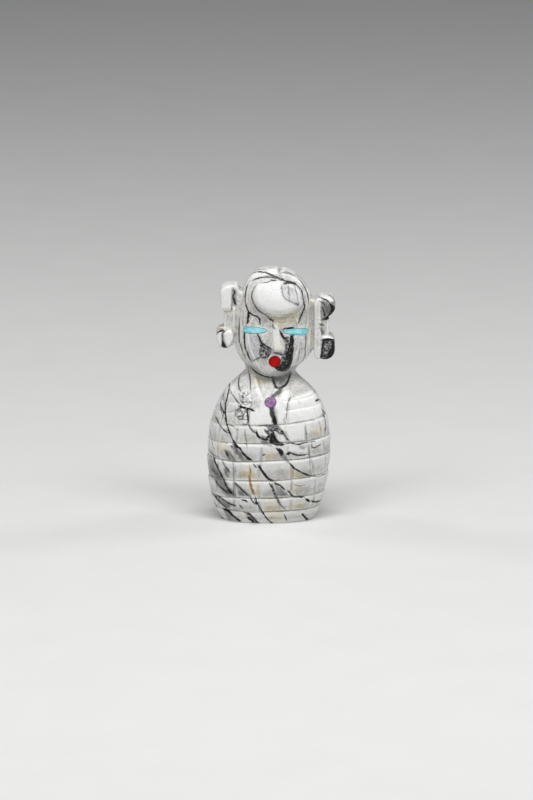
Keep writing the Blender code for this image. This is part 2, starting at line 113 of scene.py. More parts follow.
# Grooves between the rows: height at the middle line, and how much they climb to the side
ROWS = (
    (0.0509, 0.010),
    (0.1070, 0.025),
    (0.1807, 0.040),
    (0.2596, 0.035),
    (0.3298, 0.035),
    (0.4018, 0.055),
    (0.4509, 0.060),
    (0.4877, 0.060),
)
ROW_GROOVE_DEPTH = 0.0046
ROW_GROOVE_ABOVE = 0.0032
ROW_GROOVE_BELOW = 0.0115
ROW_GROOVE_POWERS = (1.2, 1.3)
ROW_USUAL_DEPTH = 0.9
ROW_EDGE = 0.004
# Widths of the painted shade line in the grooves' bottoms and of the painted highlight on the lips
# below them
GROOVE_LINE = 0.0030
LIP_BELOW = 0.0085
LIP_HALF = 0.0055

# How strong each row's groove is on the left shoulder, where the upper ones fade out, and elsewhere
ROW_STRENGTHS = (
    (1.0, 1.0),
    (1.0, 1.0),
    (1.0, 1.0),
    (1.0, 1.0),
    (0.4, 1.0),
    (0.08, 0.75),
    (0.0, 0.4),
    (0.0, 0.45),
)
LEFT_FADE = math.radians(-27)
LEFT_FADE_WIDTH = 0.25
BACK_FADE = (-2.75, -2.2)

# Columns of kernels, and the smooth bib on the chest
COLUMN_GROOVE_DEPTH = 0.0034
COLUMN_GROOVE_HALF_ANGLE = math.radians(1.9)
COLUMN_GROOVE_POWER = 1.4
COLUMN_USUAL_DEPTH = 0.75
KERNEL_SWELL = 0.0014
LEDGE_RISE = 0.0034
LEDGE_START = (0.0, 0.8)
LEDGE_END = (0.90, 1.0)
FOOT_SWELL = 0.05
FOOT_SWELL_END = 0.005
KERNEL_COLUMNS = 15
KERNEL_PITCH = 2 * math.pi / KERNEL_COLUMNS
FIRST_COLUMN = math.radians(-6.3) - 7 * KERNEL_PITCH
BIB_LEFT = FIRST_COLUMN + 6.5 * KERNEL_PITCH
BIB_RIGHT = FIRST_COLUMN + 8 * KERNEL_PITCH
BIB_EDGE = 0.03
BIB_FIRST_ROW = 5

# Waves that keep the grooves uneven: size, waves, and how far each groove is out of step
ROW_WAVES = ((0.0014, 3, 2.1), (0.0011, 7, 4.7))
ROW_DEPTH_WAVE = (0.22, 5, 1.3)
COLUMN_WAVE = (math.radians(1.2), 22, 1.9)
COLUMN_DEPTH_WAVE = (0.35, 31, 2.7)
HAIR_WAVE = (0.0016, 38, 2.2)
HAIR_DEPTH_WAVE = (0.3, 51, 1.0)

# The columns spread towards the foot: gain with height below a level, and its least and most
SPREAD_LEVEL = 0.25
RIGHT_SPREAD = (1.9, -0.15, 0.33)
LEFT_SPREAD = (0.9, 0.0, 0.16)
SPREAD_FADE = math.radians(40)
SPREAD_END = math.radians(112)

# Grooves of the hair, as distances from the face's middle line
HAIR_LINES = (0.1180, 0.1300, 0.1420)
HAIR_LINE_DEPTH = 0.0040
HAIR_LINE_HALF = 0.0052
HAIR_LINE_POWER = 1.2
HAIR_USUAL_DEPTH = 0.8
CROWN_HEIGHT = 0.885
CROWN_STRETCH = 1.22
HAIR_START = (0.60, 0.64)

# How much painted groove shade the columns' and the hair's grooves get beside the rows' grooves
COLUMN_LINE_SHADE = 0.30
HAIR_LINE_SHADE = 0.6

# Height, half width, front depth, back depth and sideways drift of the sections
SECTIONS = (
    (0.0000, 0.1886, 0.1386, 0.1386, 0.0000),
    (0.0377, 0.2035, 0.1491, 0.1491, 0.0021),
    (0.1018, 0.2211, 0.1632, 0.1632, 0.0026),
    (0.1667, 0.2316, 0.1719, 0.1702, 0.0053),
    (0.2632, 0.2386, 0.1772, 0.1754, 0.0079),
    (0.3439, 0.2351, 0.1746, 0.1719, 0.0079),
    (0.3912, 0.2263, 0.1684, 0.1649, 0.0070),
    (0.4246, 0.2158, 0.1614, 0.1579, 0.0053),
    (0.4561, 0.2018, 0.1526, 0.1474, 0.0039),
    (0.4877, 0.1851, 0.1404, 0.1351, 0.0035),
    (0.5211, 0.1614, 0.1175, 0.1158, 0.0039),
    (0.5526, 0.1290, 0.0900, 0.0950, 0.0058),
    (0.5719, 0.1085, 0.0780, 0.0860, 0.0085),
    (0.5842, 0.0995, 0.0800, 0.0830, 0.0115),
    (0.5947, 0.0990, 0.1035, 0.0840, 0.0150),
    (0.6088, 0.1055, 0.1193, 0.0900, 0.0200),
    (0.6333, 0.1281, 0.1263, 0.1053, 0.0249),
    (0.6649, 0.1474, 0.1298, 0.1211, 0.0272),
    (0.6982, 0.1535, 0.1316, 0.1316, 0.0272),
    (0.7456, 0.1518, 0.1298, 0.1404, 0.0281),
    (0.8263, 0.1456, 0.1228, 0.1439, 0.0333),
    (0.8737, 0.1404, 0.1246, 0.1386, 0.0395),
    (0.9070, 0.1325, 0.1193, 0.1180, 0.0395),
    (0.9386, 0.1160, 0.1053, 0.0970, 0.0350),
    (0.9684, 0.0900, 0.0845, 0.0700, 0.0325),
    (0.9877, 0.0630, 0.0616, 0.0450, 0.0305),
    (0.9974, 0.0320, 0.0333, 0.0200, 0.0290),
    (1.0000, 0.0000, 0.0000, 0.0000, 0.0280),
)
SECTION_STEPS = 1600
BODY_EXPONENT = 2.25
HEAD_EXPONENT = 2.1
EXPONENT_CHANGE = (0.5, 0.62)
HEAD_SLOPE = -0.055
HEAD_SLOPE_LEVELS = (0.56, 0.64)
JAW_LIFT = 0.056
JAW_LIFT_START = (0.52, 0.585)
JAW_LIFT_END = (0.63, 0.74)

# Face features: centres across from the middle line and up, half sizes and rises, and the pairs
# of values between which each feature starts or ends
NOSE_TIP = (0.0130, 0.695)
NOSE_BRIDGE_HEIGHT = 0.785
NOSE_RISE = 0.021
NOSE_HALF_AT_TIP = 0.040
NOSE_NARROWING = 0.016
NOSE_LEAN = 0.6
NOSE_FALL = 0.55
NOSE_UNDER = (-0.014, 0.004)
NOSE_TOP = (-0.01, 0.03)
BROW_DOME = (0.0050, 0.897)
BROW_DOME_HALF = (0.103, 0.073)
BROW_DOME_RISE = 0.021
BROW_DOME_FALL = 0.12
BROW_DOME_CRISP = (0.80, 1.06)
BROW_DOME_SLOPING = (0.30, 1.20)
BROW_DOME_BELOW = (0.01, 0.05)
JAW_CENTRE = 0.735
JAW_HALF = (0.098, 0.150)
JAW_EDGE = (0.95, 1.01)
CHEEK_SINK = 0.006
CHEEK_START = (0.57, 0.60)
CHEEK_END = (0.79, 0.85)
FACE_START = (0.575, 0.60)
FRONT_START = (0.0, 0.35)
PART_LINE = 0.022
PART_LINE_DEPTH = 0.009
PART_LINE_HALF = 0.014
PART_LINE_POWER = 1.3
PART_LINE_START = (0.955, 0.975)

# The collar's opening above the chest dot
OPENING_HEIGHT = 0.09
OPENING_HALF_AT_DOT = 0.008
OPENING_WIDENING = 0.042
OPENING_LEAN = 0.006
OPENING_DEPTH = 0.0055
OPENING_EDGE = (-0.004, 0.002)
OPENING_START = 0.014
OPENING_END = (0.565, 0.58)

# Fineness of the carved surface
AROUND = 300
UPWARD = 256
FOOT_RINGS = 7
FOOT_LEVEL = 0.0035
FOOT_INSET = 0.985
TOP_LEVEL = 0.99999
POLE_LEVEL = 0.9999
WHORL_VOXEL = 0.00018
SOCKET_FINENESS = 24
INLAY_FINENESS = 32
BODY_SMOOTH_ANGLE = math.radians(42)
INLAY_SMOOTH_ANGLE = math.radians(50)

# Where the rings of vertices stand closer: extra rings, half height of the crowd
ROW_CROWD = (1.5, 0.010)
CHIN_CROWD = (0.9, 0.022)
CHIN_LEVEL = 0.592
HEAD_CROWD = 0.45

# Hand-worked unevenness: its size, then share and fineness of its coarse and fine parts
WEAR_SIZE = 0.00007
WEAR_UPWARD = 0.3
WEAR_COARSE = (0.6, 260.0)
WEAR_FINE = (0.25, 900.0)
WEAR_FINE_SHIFT = Vector((5, 1, 7))

# Hair whorls, side by side: outline across and up, front, back and rounding
WHORL_BLOCKS = {
    "left": {
        "web": (
            (
                (-0.1456, 0.6947), (-0.0912, 0.6842), (-0.0912, 0.906), (-0.1065, 0.906),
                (-0.111, 0.921), (-0.118, 0.931), (-0.1456, 0.931),
            ),
            (-0.0421, 0.0526, 0.0079),
        ),
        "upper": (
            (
                (-0.1816, 0.8439), (-0.1702, 0.8333), (-0.1386, 0.8351), (-0.1386, 0.9298),
                (-0.1509, 0.9316), (-0.1702, 0.9246), (-0.1816, 0.9123),
            ),
            (-0.0579, 0.0491, 0.0105),
        ),
        "waist": (
            ((-0.1684, 0.7368), (-0.1228, 0.7368), (-0.1228, 0.8456), (-0.1684, 0.8456)),
            (-0.0491, 0.0439, 0.0061),
        ),
        "core": (
            (
                (-0.1965, 0.7018), (-0.186, 0.6877), (-0.1684, 0.68), (-0.1456, 0.6835),
                (-0.133, 0.6982), (-0.133, 0.75), (-0.1649, 0.752), (-0.186, 0.748), (-0.1965, 0.7368),
            ),
            (-0.044, 0.0491, 0.009),
        ),
        "curl": (
            (
                (-0.1987, 0.7422), (-0.194, 0.7542), (-0.1803, 0.7639), (-0.1665, 0.7655),
                (-0.1646, 0.754), (-0.1765, 0.744), (-0.1763, 0.6959), (-0.1822, 0.687),
                (-0.1912, 0.6905), (-0.197, 0.714),
            ),
            (-0.056, 0.03, 0.0045),
        ),
        "lobe": (
            (
                (-0.1701, 0.743), (-0.1587, 0.7534), (-0.1411, 0.7542), (-0.1301, 0.7422),
                (-0.1317, 0.718), (-0.1411, 0.6999), (-0.1513, 0.689), (-0.1607, 0.6987),
                (-0.1677, 0.716),
            ),
            (-0.059, 0.04, 0.0085),
        ),
    },
    "right": {
        "web": (
            ((0.1404, 0.6825), (0.1912, 0.6719), (0.1912, 0.8702), (0.1404, 0.8877)),
            (-0.0421, 0.0456, 0.007),
        ),
        "strip": (
            (
                (0.1842, 0.6526), (0.1965, 0.6368), (0.2132, 0.6421), (0.2132, 0.8754),
                (0.1982, 0.8842), (0.1842, 0.8667),
            ),
            (-0.0614, 0.0491, 0.0088),
        ),
        "upper": (
            (
                (0.193, 0.8), (0.2228, 0.8), (0.2509, 0.814), (0.2667, 0.8351), (0.2684, 0.8614),
                (0.2509, 0.8842), (0.2088, 0.8877), (0.193, 0.8772),
            ),
            (-0.0526, 0.0456, 0.0105),
        ),
        "waist": (
            ((0.186, 0.7193), (0.2421, 0.7193), (0.2421, 0.8158), (0.186, 0.8158)),
            (-0.0421, 0.0386, 0.0061),
        ),
        "lower": (
            (
                (0.2088, 0.6386), (0.2351, 0.6368), (0.2544, 0.6456), (0.2658, 0.6649), (0.2649, 0.714),
                (0.2509, 0.7298), (0.2088, 0.7333),
            ),
            (-0.0561, 0.0491, 0.0105),
        ),
    },
}

# Tones of the stone, each pair from one end of its pattern to the other
GROUND_TONES = ((0.76, 0.755, 0.735), (0.55, 0.545, 0.525))
CREAM_TONE = (0.66, 0.63, 0.55)
SMUDGE_TONE = (0.36, 0.355, 0.35)
BRIGHT_TONE = (0.90, 0.90, 0.89)
LOW_SHADE_TONE = (0.42, 0.41, 0.385)
CRACK_TONE = (0.22, 0.21, 0.20)
WHITE_AND_HIGHLIGHT_TONE = (0.93, 0.93, 0.92)
BODY_STAIN_TONES = ((0.68, 0.58, 0.36), (0.50, 0.40, 0.22))
HEAD_STAIN_TONES = ((0.88, 0.86, 0.69), (0.66, 0.62, 0.43))
PALE_TONES = ((0.50, 0.50, 0.525), (0.72, 0.72, 0.74))
GRIT_TONE = (0.34, 0.33, 0.31)
GLINT_TONE = (0.94, 0.94, 0.93)
FLECK_TONE = (0.14, 0.135, 0.13)
GREY_TONES = ((0.03, 0.03, 0.033), (0.30, 0.30, 0.305))
DEEP_GREY_TONE = (0.105, 0.102, 0.097)
HALO_TONE = (0.24, 0.24, 0.245)
SPLASH_TONE = (0.05, 0.05, 0.055)
BLACK_TONES = ((0.003, 0.003, 0.003), (0.022, 0.022, 0.024))
RUST_TONES = ((0.50, 0.36, 0.13), (0.26, 0.16, 0.05))
PEPPER_TONE = (0.48, 0.48, 0.49)
SPECK_TONE = (0.26, 0.26, 0.27)
SALT_TONE = (0.86, 0.86, 0.86)
HOLLOW_SHADE_AND_DIRT_TONE = (0.33, 0.32, 0.28)
GROOVE_LINE_SHADE_TONE = (0.13, 0.13, 0.13)
LIP_HIGHLIGHT_TONE = (0.96, 0.96, 0.95)
CHIP_GLINT_TONE = (0.97, 0.97, 0.97)
CHIP_SHADE = (0.10, 0.10, 0.10)
CRACK_SWAY = (0.0022, 0.0022, 0.0022)

# Veins: width in pixels, darkness, and points in the photograph
BLACK_VEINS = {
    "strand_upper": (2.0, 1.0, (
        (232, 438), (234.8, 443.7), (237.3, 446.9), (240.1, 448.8), (242.8, 452.9), (246.5, 457),
        (250.2, 459.3), (253, 460.7),
    )),
    "strand_link": (1.2, 0.9, ((253.4, 464.4), (256.7, 467.6))),
    "strand_lower": (2.0, 1.0, (
        (258.5, 465.3), (261.3, 469.9), (264.9, 474.5), (268.6, 479.1), (274.2, 481),
    )),
    "strand_branch": (1.0, 0.5, ((236.4, 449.2), (236.9, 454.7))),
    "strand_end": (1.6, 1.0, ((274.3, 483.1), (280, 485.5), (284.7, 489.7))),
    "strand_last": (1.4, 0.95, ((287.6, 490.2), (291.4, 494.9), (295.2, 496.6), (303.7, 496.8))),
    "low_right_tail": (2.2, 1.0, ((305.6, 498.7), (309.4, 501.6))),
    "low_right_end": (2.0, 1.0, ((311.3, 500.6), (315, 501.8), (318.8, 501.1), (320.7, 499.7))),
    "band_upper": (1.2, 0.8, ((230.9, 445.5), (232.7, 448.3))),
    "band_lower": (1.2, 0.7, ((230.9, 453.8), (236, 461.6))),
    "band_thick": (2.4, 0.7, ((225.8, 451.5), (228.1, 456.1))),
    "flank_long": (1.7, 1.0, (
        (213.4, 456.6), (215.2, 462.1), (218.4, 469), (221.7, 475.5), (223.5, 479.6), (224.4, 482.4),
    )),
    "flank_long_end": (2.5, 1.0, ((224.4, 482.4), (228.1, 488.8), (232.3, 494.3))),
    "flank_short": (1.1, 0.85, ((221.7, 461.2), (225.3, 466.7), (228.6, 470.4), (230.4, 473.2))),
    "flank_edge": (1.5, 0.9, ((215.2, 479.6), (218, 484.2), (222.6, 488.8), (228.1, 493.4))),
    "foot_left_long": (2.0, 1.0, ((214.3, 495.3), (218, 499.9), (222.6, 504.5), (227.2, 508.2))),
    "foot_left_upper": (1.3, 0.9, ((216.1, 494.3), (222.6, 498.9), (229, 503.6), (236.4, 505.9))),
    "foot_left_low": (2.5, 1.0, (
        (223.5, 508.6), (228.1, 510.9), (232.7, 515.5), (237.3, 519.2), (240.5, 521),
    )),
    "kernel_thin": (1.2, 0.9, ((234.6, 482.4), (239.2, 487), (243.8, 491.6), (247.9, 495.3))),
    "kernel_thin_end": (1.2, 0.8, ((250.7, 497.1), (252, 500.8), (256.2, 504.5))),
    "seam_end": (1.4, 1.0, (
        (255.3, 497.1), (257.1, 502.6), (260.3, 508.6), (263.1, 512.8), (265.9, 517.4), (270.5, 522),
        (274.2, 523.8),
    )),
    "skirt_dash": (1.8, 0.85, ((241.5, 499.9), (245.6, 500.3), (247, 501.7))),
    "skirt_short": (1.1, 0.7, ((239.2, 504.5), (242.8, 508.6))),
    "foot_middle": (1.3, 0.9, (
        (244.2, 512.3), (249.3, 513.7), (253, 517.4), (256.2, 521), (258.5, 524.3),
    )),
    "foot_middle_thick": (2.5, 1.0, ((247.4, 517.4), (253.9, 522))),
    "foot_right": (2.2, 1.0, ((302.3, 513.9), (305.6, 517.7), (307.9, 520.5))),
    "skirt_middle": (1.6, 0.9, ((269.6, 483.6), (272.4, 488.3), (274.3, 493), (277.2, 496.8))),
    "skirt_middle_low": (1.5, 0.6, ((276.2, 500.6), (280.9, 505.4), (285.2, 509.2))),
    "skirt_middle_end": (1.5, 0.8, ((284.3, 514.8), (286.6, 520.5))),
    "row_vein_dark": (3.0, 1.0, ((270, 440.6), (274, 443.4), (279, 444.4), (284.6, 444.4))),
    "row_vein_thin": (1.1, 0.9, (
        (284, 444.3), (290.4, 443.3), (298, 444.3), (304.6, 442.8), (315, 441.4),
    )),
    "below_row_second": (3.0, 1.0, ((287.1, 454.2), (290.4, 452.4))),
    "below_row_tail": (1.2, 0.9, (
        (290.4, 452.8), (294.2, 454.2), (298, 455.2), (302.7, 455.2), (307.5, 454.2),
    )),
    "right_sweep": (1.3, 1.0, (
        (288.5, 462.3), (291.4, 465.1), (295.2, 468.9), (299.9, 471.3), (304.6, 473.6), (310.3, 475.8),
    )),
    "right_sweep_end": (1.0, 0.6, ((311.3, 476), (318.8, 476.5), (326.4, 473.2))),
    "right_sweep_short": (1.0, 0.7, ((310.3, 472.7), (311.7, 476))),
    "right_hook": (1.5, 0.75, ((311.3, 444.7), (312.2, 447.1), (316, 447.1), (320.7, 444.3))),
    "right_dash": (1.2, 0.5, ((294.2, 484.5), (299.9, 485.9), (305.6, 484.5))),
    "cheek_left_outer": (1.5, 0.75, (
        (239.5, 319), (238.8, 335.3), (240.2, 344), (242.6, 350.6), (245.5, 358.3),
    )),
    "cheek_left": (1.7, 0.9, (
        (244.1, 331), (244.5, 343), (246.5, 350.6), (249.3, 358.2), (252.4, 362.4),
    )),
    "left_whorl_seam": (1.5, 0.8, (
        (233, 289.9), (234.5, 292.3), (233, 296.6), (234.5, 301.8), (235.9, 305.2),
    )),
    "left_whorl_seam_low": (1.5, 0.8, ((231.1, 304.7), (231.6, 309.5))),
    "left_whorl_curl": (1.4, 1.0, ((217.7, 333.4), (218.7, 331.5), (221.6, 330.5), (224.4, 331.5))),
    "right_whorl_stripe_a": (1.4, 0.95, ((318.8, 296.7), (323.2, 298.5), (326.6, 300.2), (329.2, 302))),
    "right_whorl_stripe_b": (1.6, 0.95, (
        (328.4, 294.7), (330.7, 295.9), (333.3, 298.5), (334.7, 301.4),
    )),
    "right_whorl_stripe_c": (1.0, 0.7, ((319, 300.8), (323.2, 303.1), (324.9, 305.4))),
    "right_whorl_under": (2.6, 1.0, (
        (329.5, 304.3), (334.7, 309.5), (333.6, 313), (329, 317), (323.2, 319.6),
    )),
    "right_whorl_fold": (1.8, 0.9, ((322, 307.2), (323.6, 311), (324.9, 316.4))),
    "right_whorl_blot": (2.2, 1.0, ((320.3, 324.4), (322.9, 324.9))),
    "right_whorl_waist": (1.2, 0.6, ((319.7, 327.4), (322, 330), (324.3, 333.8))),
    "right_whorl_brim": (1.3, 0.9, ((321.5, 340.5), (325, 339.2), (332, 339))),
    "right_whorl_side": (1.5, 0.9, ((323.2, 340.7), (321.4, 353.5), (320.3, 359.9))),
    "long_diagonal_top": (1.8, 1.0, (
        (230, 381), (228.4, 392), (225.5, 404), (225.3, 413), (226.2, 421), (228.8, 430), (232, 438),
    )),
    "shoulder_sweep": (1.3, 0.85, ((215.5, 416), (217.6, 421), (220.5, 426), (224, 430), (228, 432.8))),
    "shoulder_link": (1.5, 0.85, ((220.4, 403), (221.5, 407), (223, 411), (225, 414))),
    "shoulder_thin": (1.0, 0.6, ((224, 392), (223.8, 398), (224.5, 405), (225, 412))),
    "flank_edge_thin": (1.0, 0.6, ((209.5, 428), (211, 436), (213, 446), (215, 450))),
    "crackle_slit": (1.2, 0.95, ((242, 396), (242.4, 399.5), (243, 403))),
    "chest_column": (1.0, 0.45, ((245.4, 429), (245, 434), (246, 440), (247, 448))),
    "shoulder_front": (1.1, 0.65, ((229, 387), (231.5, 393), (235, 398), (238.5, 403), (241, 405))),
    "below_dot": (3.6, 0.75, ((271.2, 407), (272.2, 413), (273.4, 418))),
    "below_dot_thick": (3.4, 1.0, ((272.8, 415.4), (274.2, 419.6), (275.6, 424.4))),
    "chest_web_left": (1.6, 0.7, ((248.4, 424), (250.5, 428), (253, 431.5), (255.5, 433))),
    "chest_web_blots": (1.8, 1.0, (
        (256.6, 431), (258, 436), (262, 438.5), (266, 440), (268, 437), (272, 434),
    )),
    "chest_web_row": (1.3, 0.65, ((258.7, 425.5), (264, 425.6), (268, 425.2))),
    "chest_web_right": (1.6, 0.85, ((281, 429), (284, 434), (286.5, 438), (289, 440.5))),
    "chest_web_cross": (1.7, 0.7, ((268, 431), (272, 428.5), (277, 430), (281, 433.5))),
    "right_edge": (1.6, 0.8, ((322.5, 413), (324.6, 418), (325.6, 425), (325, 432))),
    "edge_nick_high": (1.6, 0.9, ((315.6, 400.8), (318.8, 399.4))),
    "edge_nick_low": (1.8, 0.9, ((321.6, 408.6), (323.4, 411.4), (325, 413.4))),
    # Painted shade along the kernel columns' grooves
    "right_column_shade": (1.2, 0.35, ((308.8, 446), (309.6, 456), (310, 466), (310.6, 475))),
    "right_column_high_shade": (1.2, 0.35, ((305, 427), (306.4, 433), (307, 440))),
    "left_column_shade": (1.3, 0.35, ((232.6, 458), (233.4, 470), (233.6, 484), (233.4, 498))),
    "small_dash": (1.8, 0.7, ((262.8, 455.2), (265.2, 454.6))),
    "collar_left": (1.2, 0.8, ((242, 369), (240.6, 374), (238.6, 380.5), (238.9, 386.8), (240.5, 391))),
    "collar_inner": (1.2, 0.65, ((248, 366), (249.3, 374.7), (250.4, 382), (250.3, 389.5))),
    "throat_left": (2.4, 1.0, ((272.6, 377.6), (274, 382.6), (275.4, 386.8), (277.6, 388.6))),
    "throat_right": (1.6, 0.95, (
        (277.6, 388.6), (282, 387.2), (285.6, 384.8), (288, 381), (289.6, 376), (291.6, 372),
    )),
    "throat_band": (3.8, 0.6, ((281.5, 389), (279, 391.6), (275.4, 394.4), (272, 397))),
    # Painted shadows along the eyes' socket edges
    "right_eye_top_shadow": (1.4, 0.9, ((282.6, 329.6), (286, 328.4), (291, 328), (294, 327.6))),
    "right_eye_under_shadow": (1.3, 0.85, ((286, 333.2), (292, 333.8), (299, 333.6), (305, 333))),
    "left_eye_under_shadow": (1.0, 0.6, ((252, 332.6), (258, 333.4), (264, 331.8))),
    "notch_low": (1.1, 0.7, ((236, 416), (239, 416.4), (241.4, 415.6))),
    "notch_high": (1.0, 0.6, ((236, 411.4), (238.4, 409.6), (241, 409.2))),
    "notch_under": (1.0, 0.6, ((242, 424), (245, 424.4), (248.4, 423.8))),
    # Painted shade of a carved slot across the left shoulder
    "collar_slot_shadow": (1.9, 1.0, ((239, 406.8), (245, 408), (250, 409), (254, 411))),
    "bib_left_edge": (1.3, 0.9, ((246.5, 408), (247.7, 414), (248, 419), (248.4, 424))),
    # Painted shadow along the bib's raised right edge
    "bib_right_edge_shadow": (1.0, 0.6, ((291, 396.5), (288.6, 401), (287.3, 406), (286.3, 419))),
    "dome_left": (1.3, 0.95, (
        (256.4, 285.2), (252.9, 290.5), (251.7, 296.7), (253.4, 302.7), (257.5, 309.4), (263.1, 313.3),
        (267.3, 316.3),
    )),
    "dome_left_end": (1.5, 0.8, ((267.3, 316.3), (269.8, 318.8), (272.5, 320.6), (273, 322))),
    "dome_top": (1.5, 0.85, (
        (261.5, 283), (268, 282), (270.5, 280.8), (278, 280.2), (285, 281), (291, 282.5),
    )),
    "dome_top_right": (2.0, 0.8, ((283.5, 284), (288, 283), (293, 283.5), (296, 284.4))),
    "dome_right": (1.8, 1.0, (
        (295.6, 284), (299.5, 287.5), (302, 291.5), (303, 297), (303.8, 303), (304.6, 307),
        (303, 311.5), (301, 316), (299.3, 320.5), (298.5, 323),
    )),
    "hair_upper": (1.5, 0.95, (
        (249.5, 275.5), (253, 273), (257.5, 271.8), (262, 272), (267, 273), (272, 275), (278, 277.5),
        (284, 280), (290, 281.5), (296, 283),
    )),
    "hair_lower": (1.3, 0.8, (
        (251.5, 281), (256, 278.8), (261, 277.6), (268, 277), (273, 277.6), (278, 279), (284, 281.4),
    )),
    "hair_short": (1.7, 0.6, ((272.5, 275.6), (276.5, 277.6), (280, 278.6))),
    "hair_right": (1.2, 0.8, (
        (284, 271), (290, 273), (297, 277.5), (302, 283), (306, 290), (309, 298),
    )),
    "temple_left": (1.3, 0.95, (
        (248, 284), (246, 290), (245.1, 297), (245.7, 303.5), (247.6, 310), (251, 314), (257, 316.6),
        (259.6, 319.4), (260.1, 325),
    )),
    "dome_patch_edge": (1.0, 0.5, (
        (281.5, 285), (282, 291), (283.5, 296.5), (287, 300), (291.5, 302), (296, 304.5),
        (299.5, 302.5),
    )),
    "dome_patch_spot": (2.4, 0.7, ((295.8, 303), (297.4, 304.6), (299, 303.4))),
    "crown_notch": (1.0, 0.7, ((279.8, 268), (279.4, 270), (278.8, 272))),
    "dome_patch_line_a": (1.0, 0.45, ((288.2, 285), (288.8, 291), (289.4, 300))),
    "dome_patch_line_b": (1.2, 0.45, ((294, 284.6), (295.6, 290), (297.4, 297), (298.4, 303))),
    "dome_patch_line_c": (1.0, 0.4, ((299, 288), (301, 294), (301.6, 300))),
    "hair_crown_left": (1.0, 0.55, ((252.5, 271.4), (257.5, 269.6), (263, 269.4), (268, 270.4))),
    "hair_crown_right": (1.1, 0.75, ((283, 272.4), (289, 274.4), (294, 276))),
    "hair_right_outer": (1.0, 0.65, (
        (281, 269), (288, 270.6), (295, 274), (302, 279.6), (306.5, 286), (309.5, 291),
    )),
    "hair_right_inner": (1.1, 0.7, (
        (296, 276.6), (301.5, 281.5), (305.5, 288), (307.6, 295), (308.6, 303),
    )),
    "right_jaw_line": (1.0, 0.6, ((305.4, 334), (305.6, 341), (304.6, 349), (305, 356), (302.6, 362))),
    "right_cheek_inner": (0.9, 0.4, ((299.6, 337), (300, 345), (299, 354), (297.6, 362))),
    "temple_bar": (2.6, 1.0, ((248.6, 311), (248, 316.6), (247.2, 323.6))),
    "cheek_to_nose": (1.7, 0.95, (
        (257, 333), (259.7, 338.3), (261.4, 342.6), (266, 345.7), (270, 348.4), (273, 350),
    )),
    "patch_bottom": (1.1, 0.6, (
        (252, 361.5), (256, 359.3), (260, 357.5), (264, 357.8), (268.5, 359.5),
    )),
    # Painted shadows along the nose's right side and under its tip
    "nose_right_shadow": (1.9, 0.95, (
        (279.6, 330.6), (281.6, 334.6), (284.4, 339), (286, 343), (286, 349), (284.6, 355.6),
    )),
    "nose_under_shadow": (1.4, 0.8, ((274.4, 352.1), (279.6, 353.9), (284, 355.8))),
    "bridge_dash": (2.0, 0.55, ((272.4, 324.6), (273.6, 327), (275, 328.8))),
    "right_cheek_line": (1.2, 0.55, ((307, 335), (305.6, 345), (304.5, 354), (302, 361))),
    # Painted shadow under the chin's overhang
    "chin_shadow_line": (1.6, 0.9, ((250, 366), (255.3, 371.6), (261.4, 375.2), (268.3, 377), (275, 377.4))),
}
RUST_VEINS = {
    # Tan stripes under the brow: partly the stone's tan, partly painted shade under the dome's overhang
    "brow_tan_and_shade_high": (1.2, 0.35, ((266, 313.4), (276, 314.6), (288, 314.4), (298, 312.6))),
    "brow_tan_and_shade": (1.2, 0.4, ((270, 317.4), (280, 318), (292, 317.4), (298, 316))),
    "brow_tan_and_shade_low": (1.2, 0.3, ((274, 321.4), (284, 322), (294, 321))),
    "nose_tan": (1.6, 0.35, ((272, 338), (273.4, 344), (274, 349))),
    "rust_seam": (2.1, 0.9, (
        (249.8, 465.3), (250.2, 470.4), (249.8, 476.8), (250.2, 482.4), (251.6, 487.9), (253.9, 493.4),
        (254.8, 495.3),
    )),
    "left_whorl_rust": (2.0, 0.8, ((216.3, 334.9), (217.3, 330.1), (219.7, 328.6), (224, 328.6))),
    "mouth_rust": (1.2, 0.5, ((266.6, 357), (266.2, 361), (267.6, 364.5))),
}

# Patches: outlines in the photograph's pixels
GREY_PATCHES = {
    "throat": (
        (273, 377), (280, 376), (286, 374), (291.5, 371), (292, 375), (288.6, 381), (284, 387),
        (277, 388.6),
    ),
    "throat_band": ((283, 388), (279, 394), (276, 398), (270.5, 398), (272, 395), (277, 390.5)),
    "below_dot": ((270, 407), (274, 406), (275.4, 417), (278, 425), (273, 425), (271, 416)),
    # Painted shade on the upper left block's inner side
    "left_whorl_side_shade": ((233, 289), (235.5, 292), (236, 304), (234, 306), (232.6, 300)),
    "left_flank": (
        (209, 457), (214, 460), (219, 469), (224, 478), (230, 488), (236, 496), (228, 497), (218, 486),
        (209, 472),
    ),
    "left_flank_smudge": ((224.4, 468.5), (228, 469), (228.4, 476.8), (225, 476)),
    "left_band_edge": ((225, 450), (230, 452), (233, 460), (229, 460)),
    "beside_long_vein": ((233, 443), (240, 452), (248, 460), (243, 461), (236, 454), (232, 448)),
    "kernel_edge": ((235, 483), (241, 487), (250, 496), (240, 495)),
    "foot_left": ((213, 494), (222, 499), (234, 505), (228, 508), (220, 503)),
    "foot_left_low": ((223, 508), (232, 514), (240, 521), (228, 519)),
    "foot_middle": ((245, 513), (254, 517), (260, 524), (252, 523)),
    "clump": ((262, 436), (268, 438), (272, 446), (262, 444)),
    "below_row": ((299, 446.4), (306, 446.6), (304, 449.4), (300, 449)),
    "below_row_low": ((279, 452.8), (283.8, 453.6), (288.4, 461.6), (285.4, 461.4)),
    "skirt_right": ((275, 485), (281, 488.4), (288, 495), (279, 496)),
    "right_whorl_upper": ((322, 302), (329, 303), (335, 302), (334, 311), (329, 317), (321, 320)),
}
